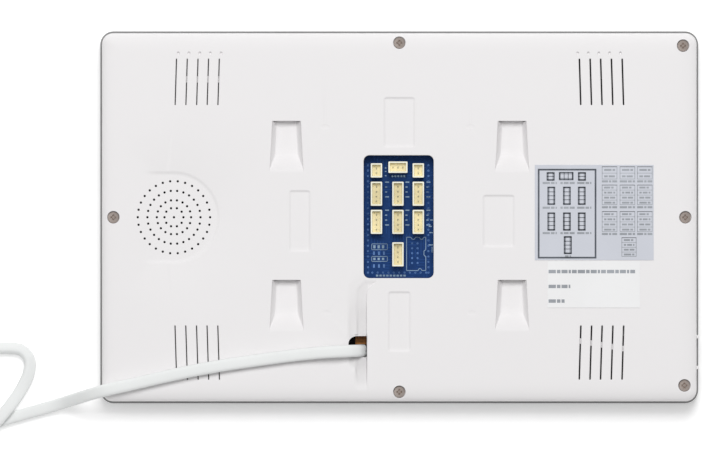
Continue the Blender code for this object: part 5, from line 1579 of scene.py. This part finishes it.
    def loop(self, inset: float, radius: float) -> np.ndarray:
        """Give the cover's outline, drawn in by a distance, with a corner radius."""
        half_x, half_y = self.half[0] - inset, self.half[1] - inset
        return rounded((-half_x, -half_y), (half_x, half_y), radius, 8, self.outline_steps)

    def shell(self, work: Patchwork) -> None:
        """Add the side wall inside and out, the crown's edge, the back and the underside."""
        wall, base = self.wall, self.base
        inner_edge = self.loop(wall + 1.5 * MM, 1.2 * MM)
        rows = [at_height(inner_edge, self.inner(inner_edge[:, 0], inner_edge[:, 1]))]
        for inset in (1.0, 0.6, 0.3, 0.1, 0.0):
            loop = self.loop(wall + inset * MM, self.corner - wall - inset * MM)
            rows.append(at_height(loop, self.inner(loop[:, 0], loop[:, 1])))
        side = self.loop(wall, self.corner - wall)
        rows += [at_height(side, base + 0.15 * MM)]
        rows += [at_height(self.loop(wall - 0.1 * MM, self.corner - wall), base)]
        rows += [at_height(self.loop(0.15 * MM, self.corner - 0.15 * MM), base)]
        rows += [at_height(self.loop(0.0, self.corner), z) for z in (base + 0.15 * MM, 12.5 * MM)]
        for inset in (0.0, 0.015, 0.05, 0.1, 0.18, 0.3, 0.45, 0.65):
            loop = self.loop(inset * MM, self.corner - inset * MM)
            rows.append(at_height(loop, self.outer(loop[:, 0], loop[:, 1])))
        work.grid(np.stack(rows), closed=True)
        work.plate(rows[-1], self.outer_holes, self.outer, self.spread(self.outer_holes))
        work.plate(inner_edge, self.inner_holes, self.inner, self.border_points())

    def spread(self, holes: Sequence[np.ndarray]) -> np.ndarray:
        """Give points on the crown and round the loudspeaker's field, clear of the openings."""
        rings = []
        for inset in (0.95, 1.35, 1.85, 2.5, 3.3, 4.3, 5.6, 7.4, 10.0):
            radius = max(self.corner - inset * MM, 1.0 * MM + inset * 0.3 * MM)
            rings.append(self.loop(inset * MM, radius))
        angle = np.radians(np.linspace(-97, 97, 60))
        for radius in (18.2, 18.9, 19.4, 19.9, 20.5):
            arc = np.stack([np.cos(angle), np.sin(angle)], axis=1) * radius * MM
            rings.append(arc + np.array((self.speaker_x, 0.0)))
            line = np.stack([np.linspace(-14, -2.5, 9), np.full(9, radius)], axis=1) * MM
            rings += [line + (self.speaker_x, 0.0), line * (1, -1) + (self.speaker_x, 0.0)]
        return clear_of(np.vstack(rings), holes)

    def border_points(self) -> np.ndarray:
        """Give points where the underside's thicker border ends."""
        loops = [self.loop(i * MM, 1.0 * MM) for i in (8.8, 9.1, 9.5, 9.8)]
        return clear_of(np.vstack(loops), self.inner_holes)

    def undercuts(self, cover: bpy.types.Object) -> None:
        """Cut the hollows under the pockets' lips and the card slot in the side wall."""
        half = self.pocket_width / 2
        cutter = Patchwork()
        for side in (-1, 1):
            for top in self.pocket_tops:
                x = side * self.pocket_x
                bar = [(x - half, top - 0.4 * MM, x + half, top + self.undercut)]
                part = boxes(bar, self.top - self.pocket_depth + 0.01 * MM, self.top - self.lip)
                cutter.add(part.points[0], part.faces[0])
        low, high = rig.box("memory_card")
        middle = (low + high) / 2
        slot = [(self.half[0] - 4 * MM, middle.y - 6.0 * MM, self.half[0] + MM, middle.y + 6.0 * MM)]
        part = boxes(slot, middle.z - 1.0 * MM, middle.z + 1.0 * MM)
        cutter.add(part.points[0], part.faces[0])
        tool = cutter.piece("cover_cutter", Look.WHITE.made)
        modifier = cover.modifiers.new("undercuts", "BOOLEAN")
        modifier.operation = "DIFFERENCE"
        modifier.solver = "EXACT"
        modifier.object = tool
        graph = bpy.context.evaluated_depsgraph_get()
        cut = bpy.data.meshes.new_from_object(cover.evaluated_get(graph))
        cover.modifiers.clear()
        cover.data = cut
        cut.materials.clear()
        cut.materials.append(Look.WHITE.made)
        cut.set_sharp_from_angle(angle=math.radians(42))
        bpy.data.objects.remove(tool)

    def bosses(self) -> None:
        """Make the hidden screw bosses under the back as upright tubes."""
        work = Patchwork()
        for place in self.screws.values():
            roof = self.top - self.border_wall - 0.02 * MM
            upright_tube(work, place, self.boss_radius, 1.6 * MM, 8.7 * MM, roof)
        for start, end, width in self.vent_ribs:
            start, end = np.array(start) * MM, np.array(end) * MM
            side = np.array([start[1] - end[1], end[0] - start[0]])
            side *= width * MM / 2 / np.linalg.norm(side)
            loop = np.array([start - side, end - side, end + side, start + side])
            heights = (self.inner_top - 2.0 * MM, self.inner_top - 0.02 * MM)
            work.grid(np.stack([at_height(loop, z) for z in heights]), closed=True, ends=True)
        finish_piece(work.piece("cover_bosses", Look.WHITE.made), "white_plastic")

    def tabs(self) -> None:
        """Make the two small pale tabs that guard the card slot."""
        low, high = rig.box("memory_card")
        middle = (low.y + high.y) / 2
        work = Patchwork()
        for side in (-1, 1):
            y = middle + side * 6.75 * MM
            loops = []
            for inset, z in ((0.3, 9.2), (0.0, 9.6), (0.0, 16.8), (0.3, 17.3)):
                i = inset * MM
                low_corner = (self.half[0] - 1.0 * MM, y - 0.75 * MM + i)
                high_corner = (self.half[0] + 1.0 * MM - i, y + 0.75 * MM - i)
                loops.append(at_height(rounded(low_corner, high_corner, 0.3 * MM, 3), z * MM))
            work.grid(np.stack(loops), closed=True, ends=True)
        finish_piece(work.piece("slot_tabs", Look.WHITE.made), "white_plastic")


# ----------------------------------------------------------------------------- front


@dataclass
class Front:
    """The grey front frame, the glass and the display behind it."""

    corner: float = 5.8 * MM
    shelf: tuple = (1.9 * MM, 3.5 * MM)
    wall: float = 3.5 * MM

    def build(self) -> None:
        """Make the frame, its bosses and the glass, and dress the display."""
        self.low, self.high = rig.box("front_frame")
        self.frame()
        self.bosses()
        self.glass()
        for node, look in (
            ("display_cell", Look.GLASS),
            ("light_guide", Look.ACRYLIC),
            ("display_back_plate", Look.BLACK_STEEL),
            ("display_ribbon", Look.FILM),
            ("microphone", Look.ALUMINIUM),
        ):
            dress(node, look.made)

    def loop(self, inset: float, radius: float, z: float) -> np.ndarray:
        """Give the frame's outline, drawn in by a distance, at a height."""
        x, y = self.high.x - inset, self.high.y - inset
        return at_height(rounded((-x, -y), (x, y), radius, 8, 4), z)

    def frame(self) -> None:
        """Carry the frame's section round its outline, with rolled outer edges."""
        r, top = self.corner, self.high.z
        shelf_low, shelf_high = self.shelf
        section = [(0.35, 0.0), (0.1, 0.1), (0.0, 0.35)]
        rows = [self.loop(i * MM, r - i * MM, z * MM) for i, z in section]
        for i, drop in ((0.0, 0.45), (0.13, 0.13), (0.45, 0.0)):
            rows.append(self.loop(i * MM, r - i * MM, top - drop * MM))
        rows.append(self.loop(self.wall, r - self.wall, top))
        rows.append(self.loop(self.wall, r - self.wall, shelf_high))
        open_x, open_y = 118.0 * MM, 72.0 * MM
        for z in (shelf_high, shelf_low):
            loop = rounded((-open_x, -open_y), (open_x, open_y), 0.6 * MM, 8, 4)
            rows.append(at_height(loop, z))
        rows.append(self.loop(1.3 * MM, r - 1.3 * MM, shelf_low))
        rows.append(self.loop(1.3 * MM, r - 1.3 * MM, 0.1 * MM))
        rows.append(self.loop(1.2 * MM, r - 1.2 * MM, 0.0))
        work = Patchwork()
        work.grid(np.stack([*rows, rows[0]]), closed=True)
        finish_piece(work.piece("frame_moulding", Look.RIM.made), "grey_rim", ["front_frame"])

    def bosses(self) -> None:
        """Make the bosses that the case screws bite into."""
        work = Patchwork()
        low, high = self.shelf[1] - 0.05 * MM, self.high.z - 0.1 * MM
        for place in case_screws().values():
            upright_tube(work, place, 3.6 * MM, 1.5 * MM, low, high)
        finish_piece(work.piece("frame_bosses", Look.RIM.made), "grey_rim")

    def glass(self) -> None:
        """Make the front glass as a slab with ground edges."""
        low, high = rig.box("front_glass")
        loops = []
        for inset, z in ((0.6, 0.0), (0.15, 0.08), (0.0, 0.35), (0.0, 1.35), (0.25, 1.6)):
            i = inset * MM
            flat = rounded((low.x + i, low.y + i), (high.x - i, high.y - i), 4.2 * MM - i, 8, 4)
            loops.append(at_height(flat, low.z + z * MM))
        piece = slab(loops).piece("glass_pane", Look.GLASS.made)
        finish_piece(piece, "black_glass", ["front_glass"])


# ----------------------------------------------------------------------------- boards


@dataclass
class Boards:
    """The main board with its headers and print, the supply board and their parts."""

    rim: float = 0.68 * MM
    pin_pitch: float = 2.15 * MM
    pin: float = 0.5 * MM
    via_pitch: float = 2.35 * MM

    def build(self) -> None:
        """Make the headers, pins and print, and dress the boards and their parts."""
        self.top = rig.box("main_board")[1].z
        headers = [node for node in sorted(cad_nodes) if node.startswith("header_")]
        for node in headers:
            self.header(node)
        self.pins(headers)
        self.marks()
        self.copper()
        for node, look in (
            ("main_board", Look.NAVY),
            ("processor", Look.EPOXY),
            ("heat_sink", Look.ALUMINIUM),
            ("memory_chip", Look.EPOXY),
            ("board_capacitor", Look.ALUMINIUM),
            ("supply_board", Look.BROWN),
            ("transformer", Look.TAPE),
            ("bulk_capacitor", Look.SLEEVE),
            ("output_capacitor", Look.SLEEVE),
            ("lead_anchor", Look.BLACK),
            ("supply_lead", Look.WIRE),
        ):
            dress(node, look.made)

    def header(self, node: str) -> None:
        """Make a header's shroud with a rounded rim, and the floor inside it in a darker ivory, which paints the shade
        deep in the shroud.
        """
        low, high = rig.box(node)
        loops = []
        for inset, z in (
            (0.1, 0.0),
            (0.0, 0.15),
            (0.0, 5.8),
            (0.08, 5.95),
            (0.2, 6.0),
            (0.48, 6.0),
            (0.62, 5.9),
            (0.66, 5.6),
            (0.7, 3.3),
        ):
            i = inset * MM
            corner = max(0.35 * MM - i * 0.3, 0.15 * MM)
            flat = rounded((low.x + i, low.y + i), (high.x - i, high.y - i), corner, 3, 2)
            loops.append(at_height(flat, low.z + z * MM))
        piece = slab(loops).piece(f"{node}_shroud", Look.IVORY.made, 35)
        finish_piece(piece, "ivory_plastic", [node])
        i = self.rim + 0.06 * MM
        bar = (low.x + i, low.y + i, high.x - i, high.y - i)
        floor = boxes([bar], low.z + 3.32 * MM, low.z + 3.4 * MM)
        # the floor takes the darker ivory, which paints the shade deep in the shroud
        piece = floor.piece(f"{node}_floor", Look.IVORY_FLOOR.made)
        finish_piece(piece, "ivory_plastic")

    def pins(self, headers: Sequence[str]) -> None:
        """Stand a square pin with a tapered tip in every way of every header."""
        work = Patchwork()
        for node in headers:
            low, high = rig.box(node)
            size = (high.x - low.x, high.y - low.y)
            along = 0 if size[0] > size[1] else 1
            ways = round((size[along] - 4.1 * MM) / self.pin_pitch) + 1
            middle = ((low.x + high.x) / 2, (low.y + high.y) / 2)
            for number in range(ways):
                place = list(middle)
                place[along] += self.pin_pitch * (number - (ways - 1) / 2)
                rows = []
                for half, z in ((0.25, 3.35), (0.25, 4.3), (0.12, 4.7)):
                    h = half * MM
                    corners = np.array([(-h, -h), (h, -h), (h, h), (-h, h)]) + place
                    rows.append(at_height(corners, low.z + z * MM))
                work.grid(np.stack(rows), closed=True, ends=True)
        finish_piece(work.piece("contact_pins", Look.TIN.made, 20), "warm_nickel")

    def marks(self) -> None:
        """Print plain marks on the main board: ticks beside the headers, the outline of an
        unfitted header with its notches, and short dashes along the edges."""
        bars = []

        def bar(x0: float, y0: float, x1: float, y1: float) -> None:
            bars.append((x0 * MM, y0 * MM, x1 * MM, y1 * MM))

        for x in (-6.2, 2.7, 11.9):
            for top in (15.4, 3.1):
                for number in range(4):
                    y = top - 2.15 * number
                    bar(x, y - 0.25, x + (0.9 if number % 3 else 1.7), y + 0.25)
        for x in np.arange(-3.4, 2.6, 1.3):
            bar(x, 17.6, x + 0.8, 18.4)
        for y in (21.6, 20.1, 18.2):
            bar(-6.3, y - 0.2, -5.6, y + 0.2)
        frame = ((3.2, -8.7), (5.1, -8.7), (5.6, -9.6), (6.6, -9.6), (7.1, -8.7), (8.8, -8.7),
                 (9.3, -9.6), (10.2, -9.6), (10.7, -8.7), (11.6, -8.7), (11.6, -14.2), (10.8, -14.7),
                 (10.8, -16.6), (11.6, -17.2), (11.6, -23.3), (9.9, -23.3), (9.4, -22.4), (8.7, -22.4),
                 (8.2, -23.3), (3.2, -23.3), (3.2, -8.7))
        for y0, y1 in ((-14.3, -11.5), (-19.4, -17.0)):
            for y in (y0, y1 - 0.25):
                bar(-12.2, y, -5.1, y + 0.25)
            for x in (-12.2, -5.35):
                bar(x, y0, x + 0.25, y1)
            for x in np.arange(-11.4, -6.0, 1.9):
                bar(x, y0 + 0.7, x + 1.0, y1 - 0.7)
        for x in np.arange(-10.2, 3.0, 1.5):
            bar(x, -25.9, x + 1.0, -25.1)
        for x, y, width in ((13.6, -1.4, 1.2), (12.9, -4.2, 1.3), (13.2, -6.9, 1.6), (12.9, -12.3, 1.9)):
            bar(x, y, x + width, y + 0.45)
        bar(14.2, -15.4, 14.5, -12.9)
        low, high = self.top + 0.005 * MM, self.top + 0.03 * MM
        work = boxes(np.array(bars), low, high)
        corners = np.array(frame) * MM
        along = np.diff(corners, axis=0)
        along /= np.linalg.norm(along, axis=1)[:, None]
        side = np.stack([-along[:, 1], along[:, 0]], axis=1) * 0.13 * MM
        for a, b, s in zip(corners, corners[1:], side):
            quad = np.array([a - s, b - s, b + s, a + s])
            work.grid(np.stack([at_height(quad, low), at_height(quad, high)]), closed=True, ends=True)
        finish_piece(work.piece("board_print", Look.SILK.made, merge=1e-7), "white_label")

    def copper(self) -> None:
        """Lay lacquered pads and ringed vias: a column down each side, a row along the bottom, two
        small chip footprints and an unfitted header's two columns."""
        low, high = self.top + 0.005 * MM, self.top + 0.05 * MM
        work = Patchwork()
        down = np.arange(-24.2, 24.5, self.via_pitch / MM)
        along = np.arange(-11.8, 11.8, self.via_pitch / MM)
        places = [(-13.7, y) for y in down] + [(12.75, y) for y in down]
        places += [(x, -24.2) for x in along]
        places += [(x, y) for x in (5.6, 8.0) for y in np.arange(-11.4, -21.5, -2.15)]
        for place in np.array(places) * MM:
            rings = ((0.42, low), (0.42, high), (0.2, high), (0.2, low), (0.42, low))
            rows = [at_height(circle(place, r * MM, 10), z) for r, z in rings]
            work.grid(np.stack(rows), closed=True)
        for x in (-11.1, -8.9, -6.7):
            for y in (-15.7, -21.3):
                pad = boxes([((x - 0.4) * MM, (y - 0.75) * MM, (x + 0.4) * MM, (y + 0.75) * MM)], low, high)
                work.add(pad.points[0], pad.faces[0])
        finish_piece(work.piece("board_pads", Look.VIA.made, merge=1e-7), "zinc_steel")


# ----------------------------------------------------------------------------- labels


@dataclass
class Labels:
    """The wiring label and the rating label, both with plain marks in place of words."""

    dark: list = field(default_factory=list)
    pale: list = field(default_factory=list)
    ink: list = field(default_factory=list)

    def build(self) -> None:
        """Dress the labels and print their marks."""
        dress("wiring_label", Look.GREY_LABEL.made)
        dress("rating_label", Look.WHITE_LABEL.made)
        self.wiring()
        self.rating()
        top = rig.box("wiring_label")[1].z
        for name, look, bars in (("dark", Look.INK, self.dark), ("pale", Look.PALE_INK, self.pale)):
            work = boxes(np.array(bars) * MM, top + 0.005 * MM, top + 0.025 * MM)
            piece = work.piece(f"label_print_{name}", look.made, merge=1e-7)
            finish_piece(piece, "black_plastic")

    def bar(self, x0: float, y0: float, x1: float, y1: float) -> None:
        """Add a bar between two corners, in millimetres, in the ink in use."""
        self.ink.append((min(x0, x1), min(y0, y1), max(x0, x1), max(y0, y1)))

    def frame(self, x0: float, y0: float, x1: float, y1: float, line: float) -> None:
        """Add a rectangle's four sides as bars of a line's width."""
        self.bar(x0, y0, x1, y0 + line)
        self.bar(x0, y1 - line, x1, y1)
        self.bar(x0, y0 + line, x0 + line, y1 - line)
        self.bar(x1 - line, y0 + line, x1, y1 - line)

    def line(self, x: float, y: float, width: float, height: float, seed: int) -> None:
        """Add a line of broken bars that stands for words: the lengths follow a fixed cycle."""
        end, number = x + width, seed
        while x < end - 0.4:
            length = min(1.0 + 0.55 * (number * 7 % 5), end - x)
            self.bar(x, y - height / 2, x + length, y + height / 2)
            x += length + 0.45
            number += 1

    def connector(self, x: float, y: float, width: float, height: float, ways: int) -> None:
        """Add a connector's drawing: a thick box with a small square for each of its ways."""
        self.frame(x - width / 2, y - height / 2, x + width / 2, y + height / 2, 0.55)
        long = max(width, height) - 1.1
        for number in range(ways + 1):
            shift = long * (number / ways - 0.5)
            if width > height:
                self.bar(x + shift - 0.15, y - height / 2, x + shift + 0.15, y + height / 2)
            else:
                self.bar(x - width / 2, y + shift - 0.15, x + width / 2, y + shift + 0.15)
        for side in (-1, 1):
            if width > height:
                self.bar(x - width / 2, y + side * 0.95 - 0.1, x + width / 2, y + side * 0.95 + 0.1)
            else:
                self.bar(x + side * 0.95 - 0.1, y - height / 2, x + side * 0.95 + 0.1, y + height / 2)

    def table(self, x: float, y: float, width: float, height: float, rows: int) -> None:
        """Add a small table: a thin box, a line under each row and a broken bar in each."""
        self.frame(x, y - height, x + width, y, 0.25)
        step = height / rows
        for number in range(rows):
            level = y - step * number
            self.bar(x, level - 0.2, x + width, level)
            self.line(x + 1.0, level - step / 2 - 0.1, width - 1.9, 0.8, number + rows)

    def wiring(self) -> None:
        """Draw the connector plan at the left and the tables at the right, with captions."""
        self.ink = self.dark
        self.frame(60.5, -18.0, 86.1, 21.2, 0.75)
        for x in (66.4, 73.2, 79.7):
            for y in (9.4, -1.85):
                self.connector(x, y, 3.4, 8.0, 4)
        for x in (66.1, 79.8):
            self.connector(x, 17.85, 3.5, 3.8, 2)
        self.connector(72.9, 18.0, 6.4, 3.6, 3)
        self.connector(73.6, -12.15, 3.5, 7.9, 4)
        self.ink = self.pale
        for y in (15.0, 4.2, -6.9):
            for x in (62.6, 70.4, 77.7):
                self.line(x, y, 6.2, 0.9, int(x))
        self.line(72.4, -17.0, 2.6, 0.8, 3)
        for x in (88.5, 96.3, 103.9):
            self.table(x, 22.2, 6.7, 5.6, 2)
            self.table(x, 14.2, 6.7, 8.8, 4)
            self.table(x, 2.6, 6.7, 9.0, 4)
            for y in (15.7, 4.4, -7.3):
                self.line(x, y, 6.7, 0.9, int(x) + 1)
        self.table(97.1, -8.8, 6.5, 8.4, 4)

    def rating(self) -> None:
        """Draw three rows of plain bars, the first long and the others short."""
        for y, width in ((-23.7, 38.0), (-30.2, 9.5), (-36.6, 7.0)):
            self.line(65.2, y, width, 1.5, 2)


# ----------------------------------------------------------------------------- fasteners, sound, card


@dataclass
class Screws:
    """Case screws with domed heads and cross recesses."""

    head: float = 2.4 * MM
    dome: float = 0.28 * MM
    arm: float = 1.35 * MM
    slot: float = 0.42 * MM
    recess: float = 0.95 * MM

    def build(self) -> None:
        """Make every case screw and dress the board screws."""
        for node, place in case_screws().items():
            self.screw(node, np.array(place))
        for node in sorted(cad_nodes):
            if node.startswith("board_screw_"):
                dress(node, Look.STEEL.made)

    def top(self, x: np.ndarray, y: np.ndarray, z: float) -> np.ndarray:
        """Give the head's height: a dome, less a cross that deepens towards its middle.

        The dome falls with the square of the radius. The cross is where the smaller of |x| and
        |y| is under half a slot and the larger is under an arm, with sloping ends.
        """
        radius = np.hypot(x, y) / self.head
        small = np.minimum(np.abs(x), np.abs(y))
        large = np.maximum(np.abs(x), np.abs(y))
        walls = smooth((self.slot - small) / (0.12 * MM))
        ends = smooth((self.arm - large) / (0.7 * MM))
        return z - self.dome * radius**2 - self.recess * walls * ends

    def screw(self, node: str, place: np.ndarray) -> None:
        """Make one screw: the head's top on rings, then its edge, its underside and its shank.

        The shank's radius swings by a fixed wave along its length for the thread.
        """
        low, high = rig.box(node)
        seat = high.z - 1.5 * MM
        rows = []
        for radius in np.concatenate([np.linspace(0.02, 0.6, 24), np.linspace(0.65, 0.92, 6)]):
            loop = circle((0, 0), radius * self.head, 72)
            rows.append(at_height(loop + place, self.top(loop[:, 0], loop[:, 1], high.z)))
        edge = high.z - self.dome
        rim = [(0.98, edge - 0.02 * MM), (1.0, edge - 0.2 * MM), (1.0, seat + 0.05 * MM), (0.97, seat)]
        for radius, z in rim:
            rows.append(at_height(circle(place, radius * self.head, 72), z))
        for z in np.arange(seat - 0.02 * MM, low.z + 1.2 * MM, -0.25 * MM):
            wave = 0.16 * abs(((seat - z) / MM) % 1.0 - 0.5) * 2
            rows.append(at_height(circle(place, (1.08 + wave) * MM, 72), z))
        rows.append(at_height(circle(place, 0.1 * MM, 72), low.z))
        piece = slab(rows).piece(f"{node}_steel", Look.NICKEL.made, 50, 1e-7)
        finish_piece(piece, "warm_nickel", [node])


@dataclass
class SoundAndCard:
    """The loudspeaker's parts and the memory card's parts."""

    def build(self) -> None:
        """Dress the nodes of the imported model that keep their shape."""
        for node, look in (
            ("speaker_frame", Look.STEEL),
            ("speaker_cone", Look.PAPER),
            ("speaker_gasket", Look.FOAM),
            ("speaker_lead", Look.WIRE),
            ("card_board", Look.GREEN),
            ("card_socket", Look.STEEL),
            ("memory_card", Look.BLACK),
            ("card_ribbon", Look.WHITE_FILM),
        ):
            dress(node, look.made)


def corners(box: Sequence) -> list[list[float]]:
    """Give a box's two corners as plain lists."""
    return [[float(v) for v in corner] for corner in box]


def main() -> None:
    """Build the whole scene and note the size before and after."""
    logging.basicConfig(level=logging.INFO, format="%(name)s %(message)s")
    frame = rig.load()
    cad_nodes.update(frame["nodes"])
    before = corners(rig.bounds())
    Studio().build()
    for part in (MainsLead(), RearCover(), Front(), Boards(), Labels(), Screws(), SoundAndCard()):
        LOG.info("building %s", type(part).__name__)
        part.build()
    with open("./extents.json", "w") as out:
        json.dump({"cad": before, "visual": corners(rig.bounds())}, out)


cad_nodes: dict[str, bpy.types.Object] = {}

if __name__ == "__main__":
    main()
